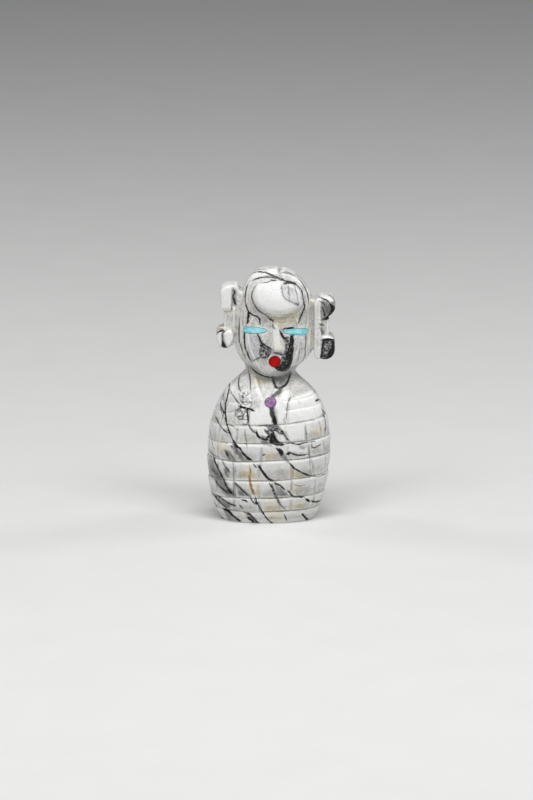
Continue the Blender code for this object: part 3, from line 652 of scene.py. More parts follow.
PALE_PATCHES = {
    "left_cheek": (
        (244.9, 333.6), (250, 332.8), (256, 334.4), (259, 340), (259.8, 348.7), (259, 355),
        (255.3, 359.6), (251.4, 360.4), (247, 351), (244.7, 343),
    ),
    "dome_right": (
        (282, 284), (296, 284.4), (302, 289), (303.6, 297), (302, 306), (296, 306), (288, 300.6),
        (282.4, 295),
    ),
    "left_whorl_curl": ((218.2, 335), (221.6, 334.8), (221.8, 346.4), (219.4, 347.4), (217.8, 341.7)),
    "shoulder_left": ((222, 385), (229, 392), (226, 415), (220, 412), (216, 400)),
    "kernel_middle": ((246, 446), (262, 448), (262, 458), (250, 458)),
}
BLACK_PATCHES = {
    "below_row": (
        (275.2, 448), (279.5, 448.2), (283.6, 450.4), (283.8, 453.6), (281.8, 456.6), (279, 452.8),
    ),
    "beside_nose": (
        (290, 335), (294, 335.2), (294, 345), (293, 357), (291.5, 364.5), (288.7, 369.8), (283.2, 372),
        (277, 370.6), (273.4, 366.4), (279, 366), (281.5, 362.5), (284.6, 358.6), (286, 352),
        (288, 349), (289, 342),
    ),
    "chest_clump": (
        (270.6, 431), (273.4, 430.4), (275, 434), (276.4, 439), (281, 443), (285, 445), (275.6, 446),
        (270, 443), (268.6, 440), (270.6, 435),
    ),
    "right_whorl_low": (
        (322.6, 338.8), (335, 338.8), (336, 353.9), (332, 361), (320, 361), (321.4, 348.7),
    ),
    "whorl_notch": (
        (221.1, 333.9), (223, 335.3), (223, 340), (225.4, 344.9), (227.8, 347.5), (231, 345.8),
        (232.5, 344.5), (231, 347.5), (226.4, 349.2), (222, 348.2), (221.6, 344), (221.8, 338),
    ),
    "right_whorl_corner": (
        (331, 308), (335.4, 305), (334.4, 311), (331, 316), (325, 319), (321, 320.4), (328, 315),
    ),
}
SPECKLED_PATCHES = {
    "beside_nose_upper": (
        (284, 337.4), (289.4, 336), (289, 345), (288, 350), (286, 353), (284.8, 359), (281.4, 363),
        (280.6, 359), (284, 353), (285.4, 346), (284.6, 341),
    ),
    "left_cheek_corner": (
        (257.6, 335.6), (260.6, 342.6), (264, 345.4), (271.6, 349.8), (271, 354), (268, 358.4),
        (261.6, 358.6), (258.6, 354), (259.8, 346),
    ),
    "right_whorl_low": ((324.4, 341), (329, 341), (329, 352), (326, 358), (322.8, 358), (323.6, 348.7)),
    "right_whorl_glint": ((329.4, 340.6), (331.6, 340.6), (331.4, 348), (329, 350)),
    "waist_upper": ((320.4, 323), (323, 323.4), (322.6, 326), (320.4, 326)),
    "waist_lower": ((319.8, 328), (322, 328), (324, 334), (321.6, 335)),
    "chest_clump_top": (
        (265, 425.4), (272, 424), (279.6, 426), (282.6, 431), (284, 435), (279, 434.6), (276, 431.4),
        (270, 432),
    ),
    "chest_clump_left": ((262.6, 428.6), (266, 429.4), (270.4, 432.6), (269.4, 436), (266, 433.6)),
    "skirt_seam": (
        (270.6, 483), (272.6, 484), (277, 496), (282, 505), (280.6, 505.6), (275, 498), (271.6, 490),
    ),
}
STAIN_PATCHES = {
    "left_band": ((217, 442), (226, 441.6), (230, 448), (225, 452.6), (217, 452)),
    "kernel_left": ((238, 464), (249, 464), (252, 472), (250, 478), (240, 477)),
    "beside_seam": ((251, 468), (255, 469), (258, 480), (260, 495), (255, 495), (252, 484)),
    "skirt": ((262, 499), (277, 499), (284, 511), (285, 523), (272, 523), (262, 511)),
    "right_kernel": ((290, 486.6), (300, 487), (300, 492), (291, 491.6)),
    "right_kernel_low": ((290, 499.4), (304, 499), (306, 507.6), (291, 508.6)),
    "right_kernel_middle": ((288, 464), (306, 476), (304, 478), (289, 478.6)),
    "left_foot": ((240, 512.6), (247, 512.6), (249, 519), (243, 521.6)),
    # Tan under the brow: partly stain, partly painted shade under the dome
    "brow_under_stain_and_shade": ((270, 312.4), (300, 311.4), (298.6, 322), (284, 328), (275, 326), (271, 318)),
    "nose_tip": ((272.6, 343), (284, 341), (285, 350), (275, 352)),
    "left_whorl_corner": ((225.6, 310.6), (233, 311), (232, 316), (227.6, 315)),
    "left_whorl_joint": ((226.6, 327.6), (233.6, 328), (232, 332.4), (227.6, 331)),
    "left_temple": ((237.6, 326), (241, 325), (240.6, 333), (238.4, 334)),
    "right_whorl_joint": ((308.6, 295), (312, 298), (316, 299), (314, 304), (311, 306), (309, 301)),
    "right_temple": ((308, 328), (312, 330), (311, 346), (306.6, 350)),
    "neck": ((252, 373), (264, 378), (271, 382), (262, 386), (254, 383)),
    "chest_kernel": ((263, 449), (274, 449), (277, 459), (264, 459.6)),
    "right_edge_kernel": ((310, 425), (323, 424), (322, 434), (312, 436)),
}
# Crushed places on the chest, where painted glints and painted shade are laid among the splinters
CHIPPED_PATCHES = {
    "crackle": ((239, 393), (248, 391), (252.6, 395), (252, 402.6), (245, 405.4), (240, 400)),
    "notches": ((235, 408), (247, 408.6), (247.6, 420), (240, 420), (235, 416)),
}
# Whiter stone, and painted highlights where the lights fall: the dome, the crown, the whorls' front
# faces, the chest, the right shoulder and the rows' lips
WHITE_AND_HIGHLIGHT_PATCHES = {
    "beside_clump": ((277.4, 435.4), (283, 436), (285.6, 441), (279.4, 440.6)),
    "web_core": ((257.6, 430), (262, 428), (267.6, 430), (267, 434.6), (262, 437.4), (259, 435)),
    "below_row": ((287, 446.4), (298, 446.4), (300, 450), (290, 451.4)),
    "ledge_flank": ((209, 468.5), (211, 468), (215.6, 477.4), (213.4, 478.6)),
    "ledge_flank_low": (
        (216, 492), (224, 495), (232.7, 497), (232.7, 499.6), (223, 497.6), (216, 494.4),
    ),
    "ledge_skirt": (
        (240, 497.2), (249, 496.4), (257.6, 495.2), (257.6, 497.6), (249, 499.2), (240, 499.8),
    ),
    "ledge_kernel": (
        (222.6, 478.4), (240, 479.2), (257.6, 478.2), (257.6, 480.8), (240, 481.8), (222.6, 480.8),
    ),
    "ledge_small": ((241, 462.4), (252, 463.2), (252, 465.2), (241, 464.6)),
    "ledge_band": ((229, 442.4), (250, 444.4), (270, 446), (270, 448.4), (250, 447), (229, 444.8)),
    "ledge_edge": ((311, 476.8), (318, 474.8), (326.4, 470), (326.4, 472.4), (318, 477), (311, 479)),
    "left_whorl_band": ((217, 327), (224, 326.6), (232, 328), (231, 331), (224, 327.8), (218, 329)),
    "right_whorl_band": (
        (316.8, 298), (323.2, 299.4), (328.4, 303.8), (327, 305.6), (322, 301.8), (316.8, 300.6),
    ),
    "dome": (
        (256, 286), (264, 283), (280, 282.6), (282, 295), (288, 302), (296, 307), (288, 311),
        (268, 311), (258, 304),
    ),
    "crown": ((252, 276), (262, 270), (276, 268), (278, 274), (262, 274), (254, 279)),
    "crown_right": ((283, 269), (294, 272), (303, 281), (308, 290), (303, 285), (292, 277)),
    "left_whorl": ((221, 285), (232, 284), (232, 292), (230.6, 308), (222, 308)),
    "left_whorl_lobe": ((224.6, 334), (231, 332), (233, 338), (229, 345), (226, 342)),
    "right_whorl": ((320, 295), (327, 294.6), (333, 300), (330, 302), (321, 298)),
    "collar_right": ((283, 392), (289, 390), (288, 400), (286, 416), (279, 424), (276.6, 405)),
    "bib": ((249.6, 411), (262, 405.6), (270, 410), (272.4, 424), (250, 424)),
    "bib_notch": ((241.4, 416.6), (247.8, 416), (248, 423), (241.6, 422.4)),
    "web": ((256, 428.4), (262, 427), (268, 431), (268, 436), (262, 438), (258, 433)),
    "right_shoulder": ((290, 399), (312, 390), (318, 398), (324, 412), (316, 418), (289, 423)),
    "right_row": ((283, 428), (304, 425), (304, 439), (292, 440)),
    "under_row": ((292, 446.6), (308, 446), (308, 452), (297, 453)),
}
PATCHES = {
    "grey": GREY_PATCHES,
    "pale": PALE_PATCHES,
    "black": BLACK_PATCHES,
    "speckled": SPECKLED_PATCHES,
    "stain": STAIN_PATCHES,
    "chipped": CHIPPED_PATCHES,
    "white": WHITE_AND_HIGHLIGHT_PATCHES,
}
FACING_LEAST = 0.05

# Distances from veins and patches are kept up to this far
FAR_MM = 3.0

# Veins on the sides that the photograph doesn't show: how many, and the ranges of their starting
# degrees and level, turn and fall a step, widths in millimetres, darkness and number of steps
HIDDEN_VEINS = {
    "body": (
        46, (84, 276), (0.10, 0.53), (0.03, 0.13), (0.012, 0.034),
        (0.22, 0.28, 0.35, 0.5, 0.6), (0.55, 1.0), (5, 12),
    ),
    "head": (
        16, (95, 265), (0.66, 0.97), (-0.14, 0.14), (0.010, 0.034),
        (0.2, 0.25, 0.32, 0.45), (0.5, 0.95), (4, 9),
    ),
}
TURN_WANDER = 0.02
FALL_WANDER = 0.006
HIDDEN_LEVELS = (0.006, 0.985)
FRONT_STEP_PIXELS = 0.35
FRONT_TAPER = (0.35, 6)
HIDDEN_STEP = 0.00008
HIDDEN_TAPER = (0.3, 5)

# Patches on those sides: kind, how many, and their least and greatest size in millimetres
HIDDEN_PATCHES = (
    ("grey", 12, 0.6, 2.0),
    ("pale", 7, 0.8, 2.2),
    ("speckled", 5, 0.4, 0.9),
    ("stain", 12, 0.8, 2.4),
    ("white", 20, 0.8, 2.4),
)
HIDDEN_PATCH_DEGREES = (98, 262)
HIDDEN_PATCH_LEVELS = (0.03, 0.95)
HIDDEN_PATCH_LEAN = (-0.9, 0.9)
HIDDEN_PATCH_STRETCH = (0.4, 0.8)
HIDDEN_PATCH_WOBBLE = 0.28

# How far the mesh is smoothed to find its hollows
RELAX_STEPS = 14
RELAX_SHARE = 0.6

random_pattern = random.Random(11)


def clear_selection():
    bpy.ops.object.select_all(action="DESELECT")


def select_only(piece):
    clear_selection()
    piece.select_set(True)
    bpy.context.view_layer.objects.active = piece


def modify(piece, kind, **settings):
    """Gives the active piece a modifier and applies it."""
    step = piece.modifiers.new(kind.lower(), kind)
    for name, setting in settings.items():
        setattr(step, name, setting)
    bpy.ops.object.modifier_apply(modifier=step.name)


def smooth_step(low, high, value):
    t = np.clip((value - low) / (high - low), 0.0, 1.0)
    return t * t * (3 - 2 * t)


def mound(distance, half_width):
    """1 in the middle and 0 at the edges, rounded at both."""
    t = np.clip(np.abs(distance) / half_width, 0.0, 1.0)
    return (1 - t * t) ** 2


def notch(distance, half_width, power=1.0):
    """1 in the middle of a groove and 0 at its edges."""
    return np.clip(1 - np.abs(distance) / half_width, 0.0, 1.0) ** power


def wave(shape, along, number, turn=0.0):
    """A gentle wave along a groove, out of step from one groove to the next."""
    size, waves, step = shape
    return size * np.sin(waves * along + number * step + turn)


def from_front(angle):
    """The same angle, between half a turn to the left and half a turn to the right."""
    return (angle + math.pi) % (2 * math.pi) - math.pi


def section_tables():
    """The sections joined by a smooth curve, sampled finely along their length."""
    points = np.array(SECTIONS)
    steps = np.linalg.norm(np.diff(points[:, :3], axis=0), axis=1)
    places = np.concatenate([[0.0], np.cumsum(steps)])
    slopes = np.gradient(points, places, axis=0)
    fine = np.linspace(0.0, places[-1], SECTION_STEPS)
    index = np.clip(np.searchsorted(places, fine, side="right") - 1, 0, len(places) - 2)
    span = places[index + 1] - places[index]
    t = ((fine - places[index]) / span)[:, None]
    span = span[:, None]
    start, end = points[index], points[index + 1]
    table = (2 * t**3 - 3 * t**2 + 1) * start + (3 * t**2 - 2 * t**3) * end
    table += (t**3 - 2 * t**2 + t) * span * slopes[index]
    table += (t**3 - t**2) * span * slopes[index + 1]
    table[:, 0] = np.maximum.accumulate(table[:, 0])
    table[:, 1:4] = np.maximum(table[:, 1:4], 0.0)
    return table


TABLE = section_tables()


def section_at(level):
    """Half width, front depth, back depth and drift at a height, in shares."""
    return [np.interp(level, TABLE[:, 0], TABLE[:, k]) for k in range(1, 5)]


def slope_at(level):
    """How far the carving tilts sideways at a height."""
    heights = [0.0] + [row[0] for row in ROWS] + [*HEAD_SLOPE_LEVELS, 1.0]
    slopes = [0.0] + [row[1] for row in ROWS] + [0.0, HEAD_SLOPE, HEAD_SLOPE]
    return np.interp(level, heights, slopes)


def exponent_at(level):
    """How square the sections are: 2 is an ellipse, and more is squarer."""
    return BODY_EXPONENT + (HEAD_EXPONENT - BODY_EXPONENT) * smooth_step(*EXPONENT_CHANGE, level)


def form(angle, level):
    """The plain carved form before any relief: x, y, z and the distance across, in shares."""
    _, front, back, _ = section_at(level)
    neck = smooth_step(*JAW_LIFT_START, level) * (1 - smooth_step(*JAW_LIFT_END, level))
    height = level + JAW_LIFT * neck * np.sin(angle) ** 2
    half, _, _, drift = section_at(height)
    exponent = exponent_at(level)
    sine, cosine = np.sin(angle), np.cos(angle)
    across = half * np.sign(sine) * np.abs(sine) ** (2 / exponent)
    depth = np.where(cosine >= 0, front, back)
    y = -depth * np.sign(cosine) * np.abs(cosine) ** (2 / exponent)
    return across + drift, y, height + slope_at(level) * across, across


def angle_across(across, level):
    """The angle at which the head's or chest's front lies this far from the middle."""
    half = section_at(level)[0]
    share = np.clip(np.abs(across) / half, 0.0, 0.999)
    return np.sign(across) * np.arcsin(share ** (exponent_at(level) / 2))


def column_spread(turned, level):
    """How much wider than evenly the columns stand at an angle from the front."""
    right = np.clip(RIGHT_SPREAD[0] * (SPREAD_LEVEL - level), *RIGHT_SPREAD[1:])
    left = np.clip(LEFT_SPREAD[0] * (SPREAD_LEVEL - level), *LEFT_SPREAD[1:])
    behind = smooth_step(SPREAD_FADE, SPREAD_END, np.abs(turned))
    return np.where(turned > 0, right, left) * (1 - behind)


def even_angle(angle, level):
    """The angle at which a place would lie if the columns stood evenly round the body."""
    turned = from_front(angle)
    return angle - turned + turned / (1 + column_spread(turned, level))


def row_strength(number, angle):
    """How deep a row's groove is cut at an angle, as a share of its full depth."""
    turned = from_front(angle)
    left, elsewhere = ROW_STRENGTHS[number]
    behind = 1 - smooth_step(*BACK_FADE, turned)
    right = smooth_step(LEFT_FADE - LEFT_FADE_WIDTH, LEFT_FADE, turned)
    return left + (elsewhere - left) * np.maximum(right, behind)


def row_offset(number, angle, level):
    """How far a place lies above the slightly wavering line of a row's groove."""
    coarse, fine = ROW_WAVES
    wobble = wave(coarse, angle, number) + wave(fine, angle, number)
    return level - ROWS[number][0] - wobble


def row_groove(angle, level):
    """Grooves between the rows: steep above, with a worn lip below that catches the light."""
    depth = np.zeros_like(level)
    even = even_angle(angle, level)
    bib = smooth_step(0.0, BIB_EDGE, even - BIB_LEFT) * smooth_step(0.0, BIB_EDGE, BIB_RIGHT - even)
    for number in range(len(ROWS)):
        off = row_offset(number, angle, level)
        above = np.clip(1 - off / ROW_GROOVE_ABOVE, 0.0, 1.0) ** ROW_GROOVE_POWERS[0]
        below = np.clip(1 + off / ROW_GROOVE_BELOW, 0.0, 1.0) ** ROW_GROOVE_POWERS[1]
        cut = ROW_GROOVE_DEPTH * row_strength(number, angle) * np.where(off > 0, above, below)
        cut = cut * (ROW_USUAL_DEPTH + wave(ROW_DEPTH_WAVE, angle, number))
        hidden = bib if number > BIB_FIRST_ROW else 0.0
        depth = np.maximum(depth, cut * (1 - hidden))
    return depth


def column_groove(angle, level):
    """Shallow upright grooves that part each row into kernels, and the bib's left edge."""
    low, high = ROWS[0][0], ROWS[-1][0]
    below_top = 1 - smooth_step(high - ROW_EDGE, high + ROW_EDGE, level)
    band = smooth_step(low - ROW_EDGE, low + ROW_EDGE, level) * below_top
    above = smooth_step(-ROW_EDGE / 2, ROW_EDGE, level - ROWS[BIB_FIRST_ROW][0])
    depth = np.zeros_like(level)
    even = even_angle(angle, level)
    for number in range(KERNEL_COLUMNS):
        place = FIRST_COLUMN + number * KERNEL_PITCH
        off = from_front(even - place - wave(COLUMN_WAVE, level, number))
        cut = COLUMN_GROOVE_DEPTH * notch(off, COLUMN_GROOVE_HALF_ANGLE, COLUMN_GROOVE_POWER)
        cut = cut * (COLUMN_USUAL_DEPTH + wave(COLUMN_DEPTH_WAVE, level, number))
        if BIB_LEFT < place < BIB_RIGHT - 0.01:
            cut = cut * (1 - above)
        depth = np.maximum(depth, cut * band)
    edge = notch(even - BIB_LEFT, COLUMN_GROOVE_HALF_ANGLE, COLUMN_GROOVE_POWER)
    return np.maximum(depth, COLUMN_GROOVE_DEPTH * edge * above * below_top)


def hair_groove(across, level):
    """Fine lines that frame the face and run over the crown."""
    up = np.clip(level - CROWN_HEIGHT, 0.0, None) * CROWN_STRETCH
    reach = np.hypot(across - BROW_DOME[0], up)
    depth = np.zeros_like(level)
    for number, place in enumerate(HAIR_LINES):
        wander = wave(HAIR_WAVE, level, number, np.sign(across))
        cut = HAIR_LINE_DEPTH * notch(reach - place - wander, HAIR_LINE_HALF, HAIR_LINE_POWER)
        cut = cut * (HAIR_USUAL_DEPTH + wave(HAIR_DEPTH_WAVE, level, number))
        depth = np.maximum(depth, cut)
    return depth * smooth_step(*HAIR_START, level)


def groove_lines(angle, level, across):
    """How far a place is in the bottom of a groove, and how far on the worn lip below a row; the
    material paints shade along the first and a highlight on the second.
    """
    line = np.zeros_like(level)
    lip = np.zeros_like(level)
    even = even_angle(angle, level)
    for number in range(len(ROWS)):
        off = row_offset(number, angle, level)
        bib = (even > BIB_LEFT) & (even < BIB_RIGHT) & (number > BIB_FIRST_ROW)
        strength = row_strength(number, angle) * ~bib
        line = np.maximum(line, notch(off, GROOVE_LINE) * strength)
        lip = np.maximum(lip, notch(off + LIP_BELOW, LIP_HALF) * strength)
    columns = column_groove(angle, level) / COLUMN_GROOVE_DEPTH
    hair = hair_groove(across, level) / HAIR_LINE_DEPTH
    line = np.maximum(line, np.maximum(columns**2 * COLUMN_LINE_SHADE, hair**2 * HAIR_LINE_SHADE))
    return np.stack([line, lip, np.zeros_like(line)], axis=-1)


def kernel_swell(angle, level):
    """Each kernel is a low pillow that stands out most along its upper edge."""
    heights = np.array([row[0] for row in ROWS])
    row = np.clip(np.searchsorted(heights, level) - 1, 0, len(heights) - 2)
    up = (level - heights[row]) / (heights[row + 1] - heights[row])
    even = even_angle(angle, level)
    turn = ((even - FIRST_COLUMN) / KERNEL_PITCH) % 1.0 * 2 - 1
    ledge = smooth_step(*LEDGE_START, up) * (1 - smooth_step(*LEDGE_END, up))
    strength = np.zeros_like(level)
    for number in range(len(heights)):
        strength = np.where(row + 1 == number, row_strength(number, angle), strength)
    inside = (level > heights[0]) & (level < heights[-1])
    bib = (level > heights[BIB_FIRST_ROW]) & (even > BIB_LEFT) & (even < BIB_RIGHT)
    swell = KERNEL_SWELL * np.clip(1 - turn**4, 0, 1) + LEDGE_RISE * strength
    foot = smooth_step(0.0, FOOT_SWELL, level)
    foot = foot * (1 - smooth_step(heights[0] - FOOT_SWELL_END, heights[0], level))
    foot = foot * (level <= heights[0])
    return swell * np.where(inside & ~bib, ledge, 0.0) + LEDGE_RISE * foot


def face_relief(across, level, front):
    """How far the face's features stand forward of the plain form."""
    tip, bridge = NOSE_TIP[1], NOSE_BRIDGE_HEIGHT
    up = np.clip((level - tip) / (bridge - tip), 0.0, 1.0)
    middle = NOSE_TIP[0] * (1 - NOSE_LEAN * up)
    under = smooth_step(tip + NOSE_UNDER[0], tip + NOSE_UNDER[1], level)
    top = 1 - smooth_step(bridge + NOSE_TOP[0], bridge + NOSE_TOP[1], level)
    nose = mound(across - middle, NOSE_HALF_AT_TIP - NOSE_NARROWING * up)
    nose = NOSE_RISE * nose * under * top * (1 - NOSE_FALL * up)

    aside = (across - BROW_DOME[0]) / BROW_DOME_HALF[0]
    raised = (level - BROW_DOME[1]) / BROW_DOME_HALF[1]
    off = aside**2 + raised**2
    crisp = 1 - smooth_step(*BROW_DOME_CRISP, off)
    sloping = 1 - smooth_step(*BROW_DOME_SLOPING, off)
    below = smooth_step(*BROW_DOME_BELOW, BROW_DOME[1] - level)
    dome = BROW_DOME_RISE * (crisp + (sloping - crisp) * below) * (1.0 - BROW_DOME_FALL * off)

    jaw = np.sqrt((across / JAW_HALF[0]) ** 2 + ((level - JAW_CENTRE) / JAW_HALF[1]) ** 2)
    lower = 1 - smooth_step(*CHEEK_END, level)
    inside = 1 - smooth_step(*JAW_EDGE, jaw)
    cheeks = -CHEEK_SINK * inside * lower * smooth_step(*CHEEK_START, level)
    return (nose + dome + cheeks) * front * smooth_step(*FACE_START, level)


def neck_opening(across, level, front):
    """The shallow opening between the two sides of the collar."""
    low = CHEST_DOT[1]
    up = np.clip((level - low) / OPENING_HEIGHT, 0.0, 1.0)
    half = OPENING_HALF_AT_DOT + OPENING_WIDENING * up
    off = np.abs(across + OPENING_LEAN * up)
    inside = 1 - smooth_step(half + OPENING_EDGE[0], half + OPENING_EDGE[1], off)
    band = smooth_step(low, low + OPENING_START, level) * (1 - smooth_step(*OPENING_END, level))
    return OPENING_DEPTH * inside * band * front


def form_normals(angle, level, step=1e-4):
    """Which way the plain form faces, before any relief."""
    left, right = form(angle - step, level), form(angle + step, level)
    above = form(angle, np.minimum(level + step, 1.0))
    below = form(angle, np.maximum(level - step, 0.0))
    around = np.stack([right[k] - left[k] for k in range(3)], axis=-1)
    upward = np.stack([above[k] - below[k] for k in range(3)], axis=-1)
    normal = np.cross(around, upward)
    return normal / np.maximum(np.linalg.norm(normal, axis=-1, keepdims=True), 1e-12)


def skin(angle, level, fine=1.0):
    """Points of the finished surface, in metres. fine fades the kernels and grooves."""
    x, y, z, across = form(angle, level)
    grooves = np.maximum(row_groove(angle, level), column_groove(angle, level))
    grooves = np.maximum(grooves, hair_groove(across, level))
    cut = (grooves - kernel_swell(angle, level)) * fine
    parting = notch(across - PART_LINE, PART_LINE_HALF, PART_LINE_POWER)
    cut = cut + PART_LINE_DEPTH * parting * smooth_step(*PART_LINE_START, level)
    front = smooth_step(*FRONT_START, np.cos(angle))
    cut = cut + neck_opening(across, level, front)
    points = np.stack([x, y, z], axis=-1) - form_normals(angle, level) * cut[..., None]
    points[..., 1] -= face_relief(across, level, front)
    return points * FIGURE_HEIGHT


def skin_normal(angle, level, step=2e-3):
    """Which way the surface faces, without its kernels and grooves."""
    around = skin(angle + step, level, 0.0) - skin(angle - step, level, 0.0)
    upward = skin(angle, level + step, 0.0) - skin(angle, level - step, 0.0)
    normal = np.cross(around, upward)
    return normal / np.linalg.norm(normal, axis=-1, keepdims=True)


def get_points(piece):
    places = np.empty(len(piece.data.vertices) * 3)
    piece.data.vertices.foreach_get("co", places)
    return places.reshape(-1, 3)


def set_points(piece, points):
    piece.data.vertices.foreach_set("co", np.ascontiguousarray(points, dtype=np.float32).ravel())
    piece.data.update()


def get_normals(piece):
    directions = np.empty(len(piece.data.vertices) * 3, dtype=np.float32)
    piece.data.vertex_normals.foreach_get("vector", directions)
    return directions.reshape(-1, 3)


def give_values(piece, name, kind, values):
    """Gives each vertex a number or a vector that its material reads."""
    field = "value" if kind == "FLOAT" else "vector"
    layer = piece.data.attributes.new(name, kind, "POINT")
    layer.data.foreach_set(field, np.ascontiguousarray(values, dtype=np.float32).ravel())


def crowd(shape, distance):
    extra, half = shape
    return extra * np.exp(-((distance / half) ** 2))


def ring_levels(count):
    """Heights of the rings of vertices, closer together at grooves, chin and face."""
    steps = np.linalg.norm(np.diff(TABLE[:, :3], axis=0), axis=1)
    level = (TABLE[1:, 0] + TABLE[:-1, 0]) / 2
    density = np.ones_like(level)
    for height, _ in ROWS:
        density += crowd(ROW_CROWD, level - height)
    density += crowd(CHIN_CROWD, level - CHIN_LEVEL)
    density += HEAD_CROWD * smooth_step(*HAIR_START, level)
    total = np.concatenate([[0.0], np.cumsum(steps * density)])
    picked = np.interp(np.linspace(0.0, total[-1], count + 1), total, TABLE[:, 0])
    return np.maximum(picked, FOOT_LEVEL)


def wear(points):
    """Small hand-worked unevenness of a polished surface."""
    outward = points - np.array([0.0, 0.0, FIGURE_HEIGHT / 2])
    outward[:, 2] *= WEAR_UPWARD
    outward /= np.maximum(np.linalg.norm(outward, axis=1, keepdims=True), 1e-9)
    lumps = []
    for point in points:
        coarse = noise.noise(Vector(point) * WEAR_COARSE[1])
        fine = noise.noise(Vector(point) * WEAR_FINE[1] + WEAR_FINE_SHIFT)
        lumps.append(WEAR_COARSE[0] * coarse + WEAR_FINE[0] * fine)
    return points + outward * (np.array(lumps) * WEAR_SIZE)[:, None]


def carve_figure():
    """A sphere drawn out to the figure's sections, then carved, with a flat foot."""
    clear_selection()
    bpy.ops.mesh.primitive_uv_sphere_add(segments=AROUND, ring_count=UPWARD, radius=1.0)
    figure = bpy.context.object
    figure.name = "veined_stone_figure"
    points = get_points(figure)
    polar = np.arccos(np.clip(points[:, 2], -1, 1)) / math.pi
    ring = np.rint((1 - polar) * UPWARD).astype(int)
    angle = np.arctan2(points[:, 0], -points[:, 1])
    levels = np.concatenate([np.zeros(FOOT_RINGS), ring_levels(UPWARD - FOOT_RINGS)])
    level = levels[ring]
    carved = skin(angle, np.minimum(level, TOP_LEVEL))
    top = skin(np.array([0.0]), np.array([POLE_LEVEL]))
    carved[ring == UPWARD, :2] = top[0, :2]
    foot = ring < FOOT_RINGS
    carved[~foot] = wear(carved[~foot])
    rim = skin(angle, np.full(len(angle), FOOT_LEVEL))
    share = ring / (FOOT_RINGS - 1) * FOOT_INSET
    carved[foot] = rim[foot] * share[foot, None]
    carved[foot, 2] = 0.0
    set_points(figure, carved)
    across = form(angle, level)[3]
    give_values(figure, "carving", "FLOAT_VECTOR", groove_lines(angle, level, across))
    return figure


def shape_block(outline, extents):
    """One block of a whorl: an outlined face, extruded to its depth, with its edges rounded."""
    front, back, rounding = extents
    clear_selection()
    bpy.ops.mesh.primitive_circle_add(vertices=len(outline), fill_type="NGON", radius=1.0)
    block = bpy.context.object
    for vertex, (x, z) in zip(block.data.vertices, outline):
        vertex.co = Vector((x, front, z)) * FIGURE_HEIGHT
    depth = (back - front) * FIGURE_HEIGHT
    bpy.ops.object.mode_set(mode="EDIT")
    bpy.ops.mesh.select_all(action="SELECT")
    bpy.ops.mesh.extrude_region_move(TRANSFORM_OT_translate={"value": (0.0, depth, 0.0)})
    bpy.ops.object.mode_set(mode="OBJECT")
    face_outwards()
    width = rounding * FIGURE_HEIGHT
    modify(block, "BEVEL", width=width, segments=3, limit_method="NONE")
    return block


def face_outwards():
    """Turns all faces of the active piece outwards."""
    bpy.ops.object.mode_set(mode="EDIT")
    bpy.ops.mesh.select_all(action="SELECT")
    bpy.ops.mesh.normals_make_consistent(inside=False)
    bpy.ops.object.mode_set(mode="OBJECT")


def join_pieces(pieces, name):
    select_only(pieces[0])
    for piece in pieces:
        piece.select_set(True)
    bpy.ops.object.join()
    joined = bpy.context.object
    joined.name = name
    return joined


def carve_whorl(side):
    """A whorl's blocks fused into one worn lump of stone."""
    blocks = [shape_block(outline, extents) for outline, extents in WHORL_BLOCKS[side].values()]
    whorl = join_pieces(blocks, f"{side}_whorl")
    modify(whorl, "REMESH", mode="VOXEL", voxel_size=WHORL_VOXEL)
    modify(whorl, "SMOOTH", factor=0.5, iterations=3)
    set_points(whorl, wear(get_points(whorl)))
    return whorl


def combine(target, other, operation):
    select_only(target)
    modify(target, "BOOLEAN", operation=operation, solver="EXACT", object=other)
    bpy.data.objects.remove(other, do_unlink=True)


def squared(value, fullness):
    """A sine or cosine made fuller, so that a round section turns squarer."""
    return np.sign(value) * np.abs(value) ** fullness


def shape_sliver(name, eye, extra, outward, inward, fineness):
    """An eye sliver: a ball drawn out along the eye's line, its outer face following the skin."""
    clear_selection()
    bpy.ops.mesh.primitive_uv_sphere_add(segments=fineness, ring_count=fineness * 2, radius=1.0)
    piece = bpy.context.object
    piece.name = name
    points = get_points(piece)
    first, last = np.array(eye[:2]), np.array(eye[2:])
    along = last - first
    length = np.linalg.norm(along)
    grow = extra / FIGURE_HEIGHT
    first = first - along / length * grow
    last = last + along / length * grow
    polar = np.arccos(np.clip(points[:, 2], -1, 1)) / math.pi
    turn = np.arctan2(points[:, 0], points[:, 1])
    share = 0.5 - 0.5 * np.cos(polar * math.pi)
    share = (1 - EYE_EVENNESS) * share + EYE_EVENNESS * polar
    from_blunt = share if eye[0] < 0 else 1 - share
    width = np.interp(from_blunt, *zip(*EYE_PROFILE))
    half = EYE_THICKNESS / FIGURE_HEIGHT / 2 * width + grow * np.minimum(width * 2, 1)
    across = first[0] + (last[0] - first[0]) * share
    middle = first[1] + (last[1] - first[1]) * share
    levels = middle + half * squared(np.cos(turn), EYE_FULLNESS_UP)
    angles = angle_across(across, levels)
    out = squared(np.sin(turn), EYE_FULLNESS_OUT)
    reach = out * np.where(out > 0, outward, inward) * np.minimum(width * 3, 1)
    set_points(piece, skin(angles, levels, 0.0) + skin_normal(angles, levels) * reach[:, None])
    face_outwards()
    return piece


def shape_dot(name, place, radius, outward, inward, rounding):
    """A round plug set square to the skin, with a rounded rim."""
    level = np.array([place[1]])
    angle = angle_across(np.array([place[0]]), level)
    centre = Vector(skin(angle, level, 0.0)[0])
    normal = Vector(skin_normal(angle, level)[0])
    clear_selection()
    bpy.ops.mesh.primitive_cylinder_add(
        vertices=DOT_SIDES,
        radius=radius,
        depth=outward + inward,
        location=centre + normal * (outward - inward) / 2,
        rotation=normal.to_track_quat("Z", "Y").to_euler(),
    )
    piece = bpy.context.object
    piece.name = name
    if rounding:
        modify(piece, "BEVEL", width=rounding, segments=4, limit_method="ANGLE")
    bpy.ops.object.transform_apply(location=True, rotation=True, scale=True)
    return piece


